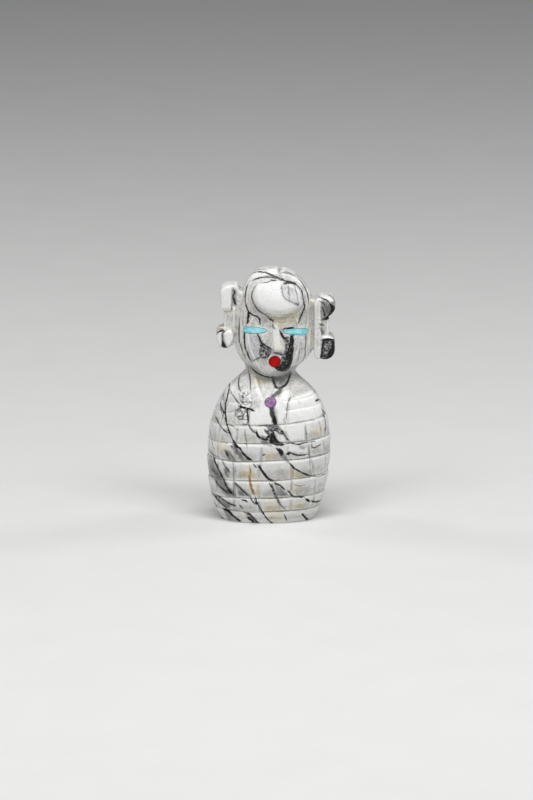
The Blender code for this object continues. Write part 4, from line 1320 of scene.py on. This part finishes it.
def place_camera():
    data = bpy.data.cameras.new("photo_camera")
    data.sensor_width = SENSOR_WIDTH_MM
    data.sensor_fit = "AUTO"
    data.lens = FOCAL_PIXELS * SENSOR_WIDTH_MM / PHOTO_HEIGHT
    data.clip_start, data.clip_end = CLIP_RANGE
    camera = bpy.data.objects.new("photo_camera", data)
    bpy.context.scene.collection.objects.link(camera)
    camera.location = CAMERA_PLACE
    camera.rotation_euler = (math.pi / 2 - CAMERA_ELEVATION, 0.0, 0.0)
    bpy.context.scene.camera = camera


def pixel_direction(x, y):
    """Which way the camera looks through a pixel of the photograph."""
    right = (x - PHOTO_WIDTH / 2) / FOCAL_PIXELS
    up = (PHOTO_HEIGHT / 2 - y) / FOCAL_PIXELS
    return (CAMERA_RIGHT * right + CAMERA_UP * up - CAMERA_BACK).normalized()


def pixels_of(points):
    """Where points of the figure show in the photograph."""
    offset = points - np.array(CAMERA_PLACE)
    depth = -(offset @ np.array(CAMERA_BACK))
    x = PHOTO_WIDTH / 2 + FOCAL_PIXELS * (offset @ np.array(CAMERA_RIGHT)) / depth
    y = PHOTO_HEIGHT / 2 - FOCAL_PIXELS * (offset @ np.array(CAMERA_UP)) / depth
    return np.stack([x, y], axis=1)


def smooth_line(points, step):
    """A smooth curve through the points, as closely spaced points."""
    points = np.array(points, dtype=float)
    if len(points) == 2:
        count = max(2, int(np.linalg.norm(points[1] - points[0]) / step))
        return points[0] + (points[1] - points[0]) * np.linspace(0, 1, count)[:, None]
    padded = np.vstack([2 * points[0] - points[1], points, 2 * points[-1] - points[-2]])
    stretches = []
    for k in range(1, len(padded) - 2):
        before, start, end, after = padded[k - 1 : k + 3]
        count = max(2, int(np.linalg.norm(end - start) / step))
        t = np.linspace(0, 1, count, endpoint=False)[:, None]
        bend = 2 * start + (end - before) * t
        bend = bend + (2 * before - 5 * start + 4 * end - after) * t**2
        bend = bend + (3 * start - before - 3 * end + after) * t**3
        stretches.append(bend / 2)
    stretches.append(points[-1:])
    return np.vstack(stretches)


def along_line(line):
    """Each point of a line with its place along it, from 0 to 1."""
    return zip(np.linspace(0, 1, len(line)), line)


def taper(place, shape):
    """A vein's width as a share of its usual width, which falls towards its two ends."""
    least, gain = shape
    return min(1.0, least + gain * min(place, 1 - place))


def front_vein(tree, vein, rust):
    """A vein's points laid on the stone where the photograph shows them."""
    width, dark, points = vein
    found = []
    for place, (x, y) in along_line(smooth_line(points, FRONT_STEP_PIXELS)):
        hit, _, _, _ = tree.ray_cast(CAMERA_PLACE, pixel_direction(x, y))
        if hit is not None:
            half = width / 2 / PIXELS_PER_METRE * taper(place, FRONT_TAPER)
            found.append((hit, half, dark, rust))
    return found


def hidden_vein(kind):
    """A wandering vein on a side that the photograph doesn't show."""
    _, degrees, levels, turns, falls, widths, darks, steps = kind
    start = math.radians(random_pattern.uniform(*degrees))
    level = random_pattern.uniform(*levels)
    turn = random_pattern.uniform(*turns)
    fall = -random_pattern.uniform(*falls)
    width = random_pattern.choice(widths) * MM
    dark = random_pattern.uniform(*darks)
    angle = start
    path = []
    for _ in range(random_pattern.randint(*steps)):
        path.append((angle, level))
        turn += random_pattern.uniform(-TURN_WANDER, TURN_WANDER)
        fall += random_pattern.uniform(-FALL_WANDER, FALL_WANDER)
        angle += turn
        level = min(max(level + fall, HIDDEN_LEVELS[0]), HIDDEN_LEVELS[1])
    line = smooth_line(skin(*np.array(path).T, 0.0), HIDDEN_STEP)
    found = []
    for place, point in along_line(line):
        swell = 0.6 + 0.5 * math.sin(place * 9 + start * 5)
        half = width / 2 * taper(place, HIDDEN_TAPER) * max(swell, 0.35)
        found.append((Vector(point), half, dark, 0.0))
    return found


def all_veins(tree):
    """Every vein as its points, each with its half width, darkness and share of rust."""
    veins = [front_vein(tree, vein, 0.0) for vein in BLACK_VEINS.values()]
    veins += [front_vein(tree, vein, 1.0) for vein in RUST_VEINS.values()]
    for kind in HIDDEN_VEINS.values():
        veins += [hidden_vein(kind) for _ in range(kind[0])]
    return [vein for vein in veins if len(vein) > 2]


def mark_veins(piece, points, normals, tree):
    """Gives each vertex its side of the nearest vein, its distance, and the vein's width and look."""
    samples = []
    for vein in all_veins(tree):
        places = [sample[0] for sample in vein]
        for k, (place, half, dark, rust) in enumerate(vein):
            along = places[min(k + 1, len(places) - 1)] - places[max(k - 1, 0)]
            samples.append((place, along.normalized(), half, dark, rust))
    finder = KDTree(len(samples))
    for k, sample in enumerate(samples):
        finder.insert(sample[0], k)
    finder.balance()
    field = np.zeros((len(points), 3))
    look = np.zeros((len(points), 3))
    for k, (spot, normal) in enumerate(zip(points, normals)):
        point = Vector(spot)
        _, nearest, distance = finder.find(point)
        place, along, half, dark, rust = samples[nearest]
        side = along.cross(Vector(normal)).dot(point - place)
        reach = min(distance / MM, FAR_MM)
        field[k] = (math.copysign(reach, side), reach, half / MM)
        look[k] = (dark, rust, 0.0)
    give_values(piece, "vein_field", "FLOAT_VECTOR", field)
    give_values(piece, "vein_look", "FLOAT_VECTOR", look)


def outline_distance(places, outline):
    """Signed distance from each place to a closed outline, less than zero inside."""
    corners = np.array(outline)
    best = np.full(len(places), np.inf)
    inside = np.zeros(len(places), bool)
    for start, end in zip(corners, np.roll(corners, -1, axis=0)):
        edge = end - start
        offset = places - start
        t = np.clip(offset @ edge / (edge @ edge), 0, 1)
        best = np.minimum(best, np.linalg.norm(offset - t[:, None] * edge, axis=1))
        crosses = (start[1] > places[:, 1]) != (end[1] > places[:, 1])
        with np.errstate(divide="ignore", invalid="ignore"):
            reach = start[0] + (places[:, 1] - start[1]) * edge[0] / edge[1]
        inside ^= crosses & (places[:, 0] < reach)
    return np.where(inside, -best, best)


def hidden_patch(points, smallest, largest):
    """Distance to a ragged leaning patch on a side that the photograph doesn't show."""
    angle = math.radians(random_pattern.uniform(*HIDDEN_PATCH_DEGREES))
    level = random_pattern.uniform(*HIDDEN_PATCH_LEVELS)
    offset = (points - skin(np.array([angle]), np.array([level]), 0.0)[0]) / MM
    offset[:, 0] += offset[:, 2] * random_pattern.uniform(*HIDDEN_PATCH_LEAN)
    offset[:, 2] *= random_pattern.uniform(*HIDDEN_PATCH_STRETCH)
    x, z = offset[:, 0], offset[:, 2]
    phase = random_pattern.uniform(0, 6)
    wobble = np.sin(x * 2.3 + phase) + np.sin(z * 3.4 + 2 * phase)
    wobble += np.sin((x - z) * 5.1 + 3 * phase)
    size = random_pattern.uniform(smallest, largest)
    return np.linalg.norm(offset, axis=1) - size * (1 + HIDDEN_PATCH_WOBBLE * wobble)


def mark_patches(piece, points, normals):
    """Gives each vertex its distance to the nearest patch of each kind, in millimetres."""
    places = pixels_of(points)
    facing = (normals @ np.array(CAMERA_BACK)) > FACING_LEAST
    near = {kind: np.full(len(points), FAR_MM) for kind in PATCHES}
    for kind, patches in PATCHES.items():
        for outline in patches.values():
            distance = outline_distance(places, outline) / PIXELS_PER_METRE / MM
            near[kind] = np.minimum(near[kind], np.where(facing, distance, FAR_MM))
    for kind, count, smallest, largest in HIDDEN_PATCHES:
        for _ in range(count):
            near[kind] = np.minimum(near[kind], hidden_patch(points, smallest, largest))
    far = {kind: np.clip(distance, -FAR_MM, FAR_MM) for kind, distance in near.items()}
    clouds = np.stack([far["grey"], far["pale"], far["black"]], axis=1)
    blemishes = np.stack([far["speckled"], far["stain"], far["chipped"]], axis=1)
    give_values(piece, "clouds", "FLOAT_VECTOR", clouds)
    give_values(piece, "blemishes", "FLOAT_VECTOR", blemishes)
    give_values(piece, "whites_and_highlights", "FLOAT", far["white"])


def mark_hollows(piece, points, normals):
    """Gives each vertex how deep it lies below the smoothed surface, in millimetres."""
    edges = np.empty(len(piece.data.edges) * 2, dtype=np.int64)
    piece.data.edges.foreach_get("vertices", edges)
    first, second = edges.reshape(-1, 2).T
    count = np.maximum(np.bincount(edges, minlength=len(points)), 1)[:, None]
    relaxed = points.copy()
    for _ in range(RELAX_STEPS):
        total = np.zeros_like(relaxed)
        for axis in range(3):
            total[:, axis] = np.bincount(first, relaxed[second, axis], len(points))
            total[:, axis] += np.bincount(second, relaxed[first, axis], len(points))
        relaxed = (1 - RELAX_SHARE) * relaxed + RELAX_SHARE * total / count
    depth = np.einsum("ij,ij->i", relaxed - points, normals) / MM
    give_values(piece, "hollow", "FLOAT", depth)


class Value:
    """A shader socket that can be used in plain arithmetic."""

    def __init__(self, shader, socket):
        self.shader = shader
        self.socket = socket

    def math(self, operation, *others, clamp=False):
        settings = {"operation": operation, "use_clamp": clamp}
        return self.shader.node("ShaderNodeMath", settings, dict(enumerate((self,) + others)))

    def __add__(self, other):
        return self.math("ADD", other)

    __radd__ = __add__

    def __sub__(self, other):
        return self.math("SUBTRACT", other)

    def __rsub__(self, other):
        return -self + other

    def __neg__(self):
        return self * -1.0

    def __mul__(self, other):
        return self.math("MULTIPLY", other)

    __rmul__ = __mul__

    def __truediv__(self, other):
        return self.math("DIVIDE", other)

    def __abs__(self):
        return self.math("ABSOLUTE")

    def clamp(self):
        return self.math("ADD", 0.0, clamp=True)

    def between(self, low, high):
        """0 at low and below, 1 at high and above, smooth in between."""
        sockets = {"Value": self, "From Min": low, "From Max": high}
        settings = {"interpolation_type": "SMOOTHSTEP"}
        return self.shader.node("ShaderNodeMapRange", settings, sockets)

    def within(self, low, high):
        """1 at low and below, 0 at high and above, smooth in between."""
        return 1 - self.between(low, high)


class Shader:
    """A material whose nodes are made one by one."""

    def __init__(self, name):
        self.material = bpy.data.materials.new(name)
        self.material.use_nodes = True
        self.tree = self.material.node_tree
        self.surface = self.tree.nodes["Principled BSDF"]
        self.place = self.node("ShaderNodeTexCoord", {}, {}, "Object")

    def node(self, kind, settings, sockets, output=0):
        made = self.tree.nodes.new(kind)
        for name, setting in settings.items():
            setattr(made, name, setting)
        for name, value in sockets.items():
            self.feed(made.inputs[name], value)
        return Value(self, made.outputs[output])

    def feed(self, socket, value):
        if isinstance(value, Value):
            self.tree.links.new(value.socket, socket)
        elif socket.type == "RGBA":
            socket.default_value = (*value, 1.0)
        else:
            socket.default_value = value

    def noise(self, scale, detail=3.0, rough=0.55, warp=0.0, place=None, output="Fac"):
        sockets = {
            "Vector": place or self.place,
            "Scale": scale,
            "Detail": detail,
            "Roughness": rough,
            "Distortion": warp,
        }
        return self.node("ShaderNodeTexNoise", {}, sockets, output)

    def stretched(self, scale, turn=(0.0, 0.0, 0.0), shift=(0.0, 0.0, 0.0), kind="POINT"):
        sockets = {"Vector": self.place, "Scale": scale, "Rotation": turn, "Location": shift}
        return self.node("ShaderNodeMapping", {"vector_type": kind}, sockets)

    def mix(self, share, first, second):
        """The second colour laid over the first, as much as the share says."""
        return self.node("ShaderNodeMix", {"data_type": "RGBA"}, {0: share, 6: first, 7: second}, 2)

    def attribute(self, name, output="Fac"):
        return self.node("ShaderNodeAttribute", {"attribute_name": name}, {}, output)

    def vector(self, name):
        """The three numbers of a vector attribute."""
        return self.parts(self.attribute(name, "Vector"))

    def parts(self, vector):
        split = self.node("ShaderNodeSeparateXYZ", {}, {0: vector}).socket.node
        return [Value(self, socket) for socket in split.outputs]

    def bump(self, height, strength, distance, below=None):
        sockets = {"Height": height, "Strength": strength, "Distance": distance}
        if below:
            sockets["Normal"] = below
        return self.node("ShaderNodeBump", {}, sockets)

    def finish(self, **sockets):
        for name, value in sockets.items():
            self.feed(self.surface.inputs[name.replace("_", " ")], value)
        return self.material


def plain_ground(stone, loose, level):
    """White stone with grey clouds, cream places, smudges, painted shade on the lower body and hairline
    cracks.
    """
    cloud = stone.noise(210.0, 5.0, 0.6, 0.6)
    ground = stone.mix(cloud.between(0.40, 0.64), *GROUND_TONES)
    warm = stone.noise(120.0, 3.0, 0.5, 0.4)
    ground = stone.mix(warm.between(0.50, 0.70) * 0.45, ground, CREAM_TONE)
    smudge = stone.noise(520.0, 5.0, 0.65, 0.8)
    ground = stone.mix(smudge.between(0.50, 0.68) * 0.62, ground, SMUDGE_TONE)
    elsewhere = stone.stretched((1.0, 1.0, 1.0), shift=(0.4, 0.8, 0.1))
    bright = stone.noise(700.0, 4.0, 0.6, 0.4, elsewhere)
    ground = stone.mix(bright.between(0.54, 0.70) * 0.6, ground, BRIGHT_TONE)
    # Painted shade: the lower body is darkened below the chest, where the overhead light falls less
    low = (level + loose * 0.08).within(0.36, 0.50)
    ground = stone.mix(low * 0.30, ground, LOW_SHADE_TONE)

    sway = stone.noise(260.0, 3.0, 0.6, output="Color")
    sockets = {0: sway, 1: CRACK_SWAY, 2: stone.place}
    warped = stone.node("ShaderNodeVectorMath", {"operation": "MULTIPLY_ADD"}, sockets)
    settings = {"feature": "DISTANCE_TO_EDGE"}
    sockets = {"Vector": warped, "Scale": 210.0}
    cracks = stone.node("ShaderNodeTexVoronoi", settings, sockets, "Distance")
    there = stone.noise(120.0, 2.0, 0.5).between(0.48, 0.62)
    return stone.mix(cracks.within(0.003, 0.020) * there * 0.35, ground, CRACK_TONE)


def veined_stone():
    """Polished white stone with black veins, grey clouds and tan stains."""
    stone = Shader("veined_stone")
    side, reach, half = stone.vector("vein_field")
    dark, rust, _ = stone.vector("vein_look")
    grey_far, pale_far, black_far = stone.vector("clouds")
    speckled_far, stain_far, chipped_far = stone.vector("blemishes")
    groove, lip, _ = stone.vector("carving")
    hollow = stone.attribute("hollow")
    level = stone.parts(stone.place)[2] / FIGURE_HEIGHT

    ragged = stone.noise(2300.0, 4.0, 0.65) - 0.5
    loose = stone.noise(800.0, 3.0, 0.6) - 0.5
    broken = stone.noise(600.0, 4.0, 0.7)
    grit = stone.noise(2600.0, 4.0, 0.75)
    leaning = stone.stretched((1.0, 1.0, 5.0), (0.0, -0.55, 0.0), kind="TEXTURE")
    streak = stone.noise(1500.0, 4.0, 0.65, 0.6, leaning)
    ground = plain_ground(stone, loose, level)

    # Whiter places and painted highlights, stains and pale clouds
    white = (stone.attribute("whites_and_highlights") + loose * 0.9).within(-0.35, 0.35)
    ground = stone.mix(white * 0.85, ground, WHITE_AND_HIGHLIGHT_TONE)
    stain = (stain_far + loose * 1.1).within(-0.60, 0.40)
    patchy = broken.between(0.35, 0.65)
    body_stain = stone.mix(patchy, *BODY_STAIN_TONES)
    head_stain = stone.mix(patchy, *HEAD_STAIN_TONES)
    stain_tone = stone.mix(level.between(0.55, 0.60), body_stain, head_stain)
    ground = stone.mix(stain * 0.72, ground, stain_tone)
    pale = (pale_far + ragged * 0.20 + loose * 0.15).within(-0.12, 0.08)
    ground = stone.mix(pale * 0.85, ground, stone.mix(streak.between(0.38, 0.66), *PALE_TONES))

    # Grit and flecks, and streaked grey clouds over them
    plain = 1 - white * 0.65
    ground = stone.mix(grit.between(0.52, 0.64) * 0.60 * plain, ground, GRIT_TONE)
    ground = stone.mix(grit.within(0.34, 0.46) * 0.45, ground, GLINT_TONE)
    flecks = stone.noise(3600.0, 2.0, 0.5)
    ground = stone.mix(flecks.between(0.62, 0.70) * 0.8 * plain, ground, FLECK_TONE)
    grey = (grey_far + ragged * 0.35 + loose * 0.9).within(-0.15, 0.40)
    deep = (grey_far + loose * 0.5).within(-1.1, -0.35)
    grey_tone = stone.mix(streak.between(0.40, 0.60), *GREY_TONES)
    grey_tone = stone.mix(deep * 0.9, grey_tone, DEEP_GREY_TONE)
    ground = stone.mix(grey * (0.72 + deep * 0.2), ground, grey_tone)

    # Veins, with a soft grey edge and splashes beside them
    width = half * (broken * 3.2 - 0.45).math("MAXIMUM", 0.12)
    off = abs(side + ragged * 0.42 + loose * 0.22)
    core = (off / width).within(0.75, 1.15)
    gate = (reach - half).within(0.16, 0.38)
    vein = (core * gate * (dark * 1.15)).clamp()
    halo = (reach - half + loose * 0.5).within(0.0, 0.34) * dark * 0.30
    ground = stone.mix(halo * (1 - rust), ground, HALO_TONE)
    splash = (reach - half * 1.6 + loose * 0.3).within(0.02, 0.26)
    splash = splash * stone.noise(2100.0, 3.0, 0.7).between(0.56, 0.64)
    ground = stone.mix(splash * dark * (1 - rust) * 0.8, ground, SPLASH_TONE)
    black_tone = stone.mix(ragged.between(0.10, 0.30), *BLACK_TONES)
    ground = stone.mix(vein * rust, ground, stone.mix(patchy, *RUST_TONES))
    ground = stone.mix(vein * (1 - rust), ground, black_tone)

    # Black patches, and speckled ones over them
    crumbs = stone.noise(2400.0, 4.0, 0.8)
    black = (black_far + ragged * 0.60 + loose * 0.35).within(-0.08, 0.06)
    peppered = stone.mix(crumbs.between(0.59, 0.64) * 0.9, black_tone, PEPPER_TONE)
    ground = stone.mix(black, ground, peppered)
    speckled = (speckled_far + ragged * 0.30).within(-0.10, 0.06)
    salted = stone.mix(crumbs.between(0.47, 0.53), black_tone, SPECK_TONE)
    salted = stone.mix(crumbs.between(0.60, 0.65), salted, SALT_TONE)
    ground = stone.mix(speckled, ground, salted)

    # Painted shade and dirt in the hollows and grooves, painted highlights on the lips and edges
    clear = (1 - vein) * ((1 - black) * (1 - speckled) * (1 - grey * 0.8))
    # Painted shade with a little dirt tone darkens every hollow below the smoothed surface
    hollow_shade_and_dirt = (hollow + loose * 0.02).between(0.03, 0.13)
    ground = stone.mix(hollow_shade_and_dirt * 0.40, ground, HOLLOW_SHADE_AND_DIRT_TONE)
    # Painted shade: a dark line along the bottom of each groove
    line = (groove + loose * 1.8 + ragged).between(0.35, 1.00)
    ground = stone.mix(line * 0.20, ground, GROOVE_LINE_SHADE_TONE)
    # Painted highlight on each row's lip, where the overhead light catches it
    worn = (lip + loose * 0.8).between(0.15, 0.80)
    ground = stone.mix(worn * 0.85 * clear, ground, LIP_HIGHLIGHT_TONE)
    # Painted highlight on convex edges, which stand above the smoothed surface
    edge = (-hollow + loose * 0.02).between(0.012, 0.05)
    ground = stone.mix(edge * 0.55 * clear, ground, WHITE_AND_HIGHLIGHT_TONE)

    # Crushed places on the chest, with painted glints and painted shade among the splinters
    chipped = (chipped_far + loose * 0.4).within(-0.25, 0.10)
    splinters = stone.noise(1000.0, 4.0, 0.7, 0.8)
    ground = stone.mix(chipped * splinters.between(0.50, 0.56) * 0.9, ground, CHIP_GLINT_TONE)
    ground = stone.mix(chipped * splinters.within(0.43, 0.48) * 0.85, ground, CHIP_SHADE)

    # Polish, with soft waves, grain and cut marks
    scratched = stone.stretched((0.3, 1.0, 2.6), (0.2, 0.5, 0.3))
    scratches = stone.noise(1000.0, 4.0, 0.7, 0.3, scratched)
    rough = 0.33 + broken * 0.16 + scratches.between(0.5, 0.75) * 0.14 + hollow_shade_and_dirt * 0.2 + vein * 0.10
    soft = stone.bump(stone.noise(420.0, 4.0, 0.55), 0.5, 0.00014)
    grain = stone.bump(grit, 0.5, 0.00012, soft)
    cut_marks = stone.bump(scratches, 0.35, 0.00006, grain)
    flakes = stone.noise(800.0, 4.0, 0.7, 0.8) * chipped
    broken_skin = stone.bump(flakes, 1.0, 0.0007, cut_marks)
    pits = stone.bump(1 - vein * 0.7 - black * ragged, 0.45, 0.00006, broken_skin)
    return stone.finish(
        Base_Color=ground,
        Roughness=rough,
        Normal=pits,
        IOR=1.52,
        Specular_IOR_Level=0.3,
        Subsurface_Weight=0.05,
        Subsurface_Radius=(0.0012, 0.0011, 0.0009),
        Coat_Weight=(1 - vein) * (1 - black) * 0.08,
        Coat_Roughness=0.16,
    )


def turquoise():
    """Pale blue stone with cloudy lighter bands and a few brown specks."""
    stone = Shader("turquoise")
    cloud = stone.noise(700.0, 4.0, 0.6, 0.5)
    blue = stone.mix(cloud.between(0.35, 0.65), (0.15, 0.65, 0.74), (0.36, 0.85, 0.91))
    bands = stone.stretched((0.5, 1.0, 2.0))
    pale = stone.noise(420.0, 2.0, 0.5, 1.0, bands).between(0.52, 0.68)
    blue = stone.mix(pale * 0.6, blue, (0.58, 0.90, 0.91))
    specks = stone.noise(2600.0, 2.0, 0.6).between(0.68, 0.76)
    blue = stone.mix(specks * 0.5, blue, (0.12, 0.30, 0.30))
    marks = stone.bump(stone.noise(1500.0, 3.0, 0.6), 0.2, 0.00004)
    rough = 0.18 + cloud * 0.10
    return stone.finish(Base_Color=blue, Roughness=rough, Normal=marks, Coat_Weight=0.4)


def red_coral():
    """Deep red with faint darker clouds and pale pores."""
    stone = Shader("red_coral")
    cloud = stone.noise(900.0, 4.0, 0.6, 0.4)
    red = stone.mix(cloud.between(0.35, 0.68), (0.62, 0.006, 0.005), (0.30, 0.002, 0.002))
    pores = stone.noise(3200.0, 2.0, 0.6).between(0.68, 0.76)
    red = stone.mix(pores * 0.35, red, (0.75, 0.22, 0.16))
    marks = stone.bump(stone.noise(1800.0, 3.0, 0.6), 0.25, 0.00004)
    rough = 0.3 + cloud * 0.12
    return stone.finish(Base_Color=red, Roughness=rough, Normal=marks, Specular_IOR_Level=0.12)


def purple_stone():
    """Purple shot with darker and paler clouds."""
    stone = Shader("purple_stone")
    cloud = stone.noise(800.0, 4.0, 0.65, 0.6)
    purple = stone.mix(cloud.between(0.38, 0.62), (0.38, 0.20, 0.44), (0.17, 0.07, 0.20))
    pale = stone.noise(1300.0, 3.0, 0.6).between(0.50, 0.66)
    purple = stone.mix(pale * 0.6, purple, (0.55, 0.38, 0.60))
    marks = stone.bump(stone.noise(1800.0, 3.0, 0.6), 0.25, 0.00004)
    rough = 0.22 + cloud * 0.12
    return stone.finish(Base_Color=purple, Roughness=rough, Normal=marks, Coat_Weight=0.3)


def floor_paper():
    paper = Shader("pale_paper")
    tone = paper.mix(paper.noise(60.0, 2.0, 0.5), (0.72, 0.72, 0.71), (0.76, 0.76, 0.75))
    return paper.finish(Base_Color=tone, Roughness=0.65)


def dress(piece, material, node):
    piece.data.materials.clear()
    piece.data.materials.append(material)
    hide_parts(node)
    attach(piece, "root")


def make_stone():
    """The whole stone: figure and whorls in one, with sockets for the inlays."""
    figure = carve_figure()
    whorls = join_pieces([carve_whorl("left"), carve_whorl("right")], "whorls")
    combine(figure, whorls, "UNION")
    depth = INLAY_DEPTH + INLAY_FLOOR_GAP
    mouth = MOUTH_DIAMETER / 2 + INLAY_SIDE_GAP
    dot = CHEST_DOT_DIAMETER / 2 + INLAY_SIDE_GAP
    sliver = (INLAY_SIDE_GAP, EYE_OPENING, depth, SOCKET_FINENESS)
    cutters = [
        shape_sliver("left_socket", LEFT_EYE, *sliver),
        shape_sliver("right_socket", RIGHT_EYE, *sliver),
        shape_dot("mouth_socket", MOUTH, mouth, DOT_OPENING, depth, 0.0),
        shape_dot("chest_socket", CHEST_DOT, dot, DOT_OPENING, depth, 0.0),
    ]
    combine(figure, join_pieces(cutters, "sockets"), "DIFFERENCE")
    select_only(figure)
    bpy.ops.object.shade_smooth_by_angle(angle=BODY_SMOOTH_ANGLE)
    points, normals = get_points(figure), get_normals(figure)
    figure.data.calc_loop_triangles()
    corners = np.empty(len(figure.data.loop_triangles) * 3, dtype=np.int64)
    figure.data.loop_triangles.foreach_get("vertices", corners)
    triangles = corners.reshape(-1, 3).tolist()
    tree = BVHTree.FromPolygons([Vector(point) for point in points], triangles)
    mark_veins(figure, points, normals, tree)
    mark_patches(figure, points, normals)
    mark_hollows(figure, points, normals)
    return figure


def make_inlays():
    """The four inlays, by the nodes that they replace."""
    sliver = (0.0, INLAY_PROUD, INLAY_DEPTH, INLAY_FINENESS)
    plug = (INLAY_PROUD, INLAY_DEPTH, DOT_ROUNDING)
    inlays = {
        "left_eye_inlay": shape_sliver("left_eye", LEFT_EYE, *sliver),
        "right_eye_inlay": shape_sliver("right_eye", RIGHT_EYE, *sliver),
        "mouth_inlay": shape_dot("mouth", MOUTH, MOUTH_DIAMETER / 2, *plug),
        "breast_inlay": shape_dot("breast", CHEST_DOT, CHEST_DOT_DIAMETER / 2, *plug),
    }
    for piece in inlays.values():
        select_only(piece)
        bpy.ops.object.shade_smooth_by_angle(angle=INLAY_SMOOTH_ANGLE)
    return inlays


def add_light(name, azimuth, elevation, distance, size, power):
    """A soft square light that faces the figure's middle."""
    turn, lift = math.radians(azimuth), math.radians(elevation)
    aim = Vector((0.0, 0.0, FIGURE_HEIGHT / 2))
    level = math.cos(lift)
    toward = Vector((math.sin(turn) * level, -math.cos(turn) * level, math.sin(lift)))
    data = bpy.data.lights.new(name, "AREA")
    data.shape = "SQUARE"
    data.size = size
    data.energy = power
    lamp = bpy.data.objects.new(name, data)
    bpy.context.scene.collection.objects.link(lamp)
    lamp.location = aim + toward * distance
    lamp.visible_camera = False
    lamp.rotation_euler = toward.to_track_quat("Z", "Y").to_euler()


def set_stage():
    """A plain pale floor, a dim sky and the lights."""
    clear_selection()
    bpy.ops.mesh.primitive_plane_add(size=FLOOR_SIZE, location=(0.0, 0.0, 0.0))
    floor = bpy.context.object
    floor.name = "floor"
    floor.data.materials.append(floor_paper())
    world = bpy.data.worlds.new("studio")
    world.use_nodes = True
    background = world.node_tree.nodes["Background"]
    background.inputs["Color"].default_value = SKY_COLOUR
    background.inputs["Strength"].default_value = SKY_STRENGTH
    bpy.context.scene.world = world
    for name, settings in LIGHTS.items():
        add_light(name, *settings)
    bpy.context.scene.view_settings.view_transform = "Standard"


place_camera()
dress(make_stone(), veined_stone(), "stone_figure")
finishes = {
    "left_eye_inlay": ("turquoise", turquoise()),
    "right_eye_inlay": ("turquoise", turquoise()),
    "mouth_inlay": ("red_coral", red_coral()),
    "breast_inlay": ("purple_stone", purple_stone()),
}
for node, piece in make_inlays().items():
    slot, material = finishes[node]
    dress(piece, material, node)
set_stage()
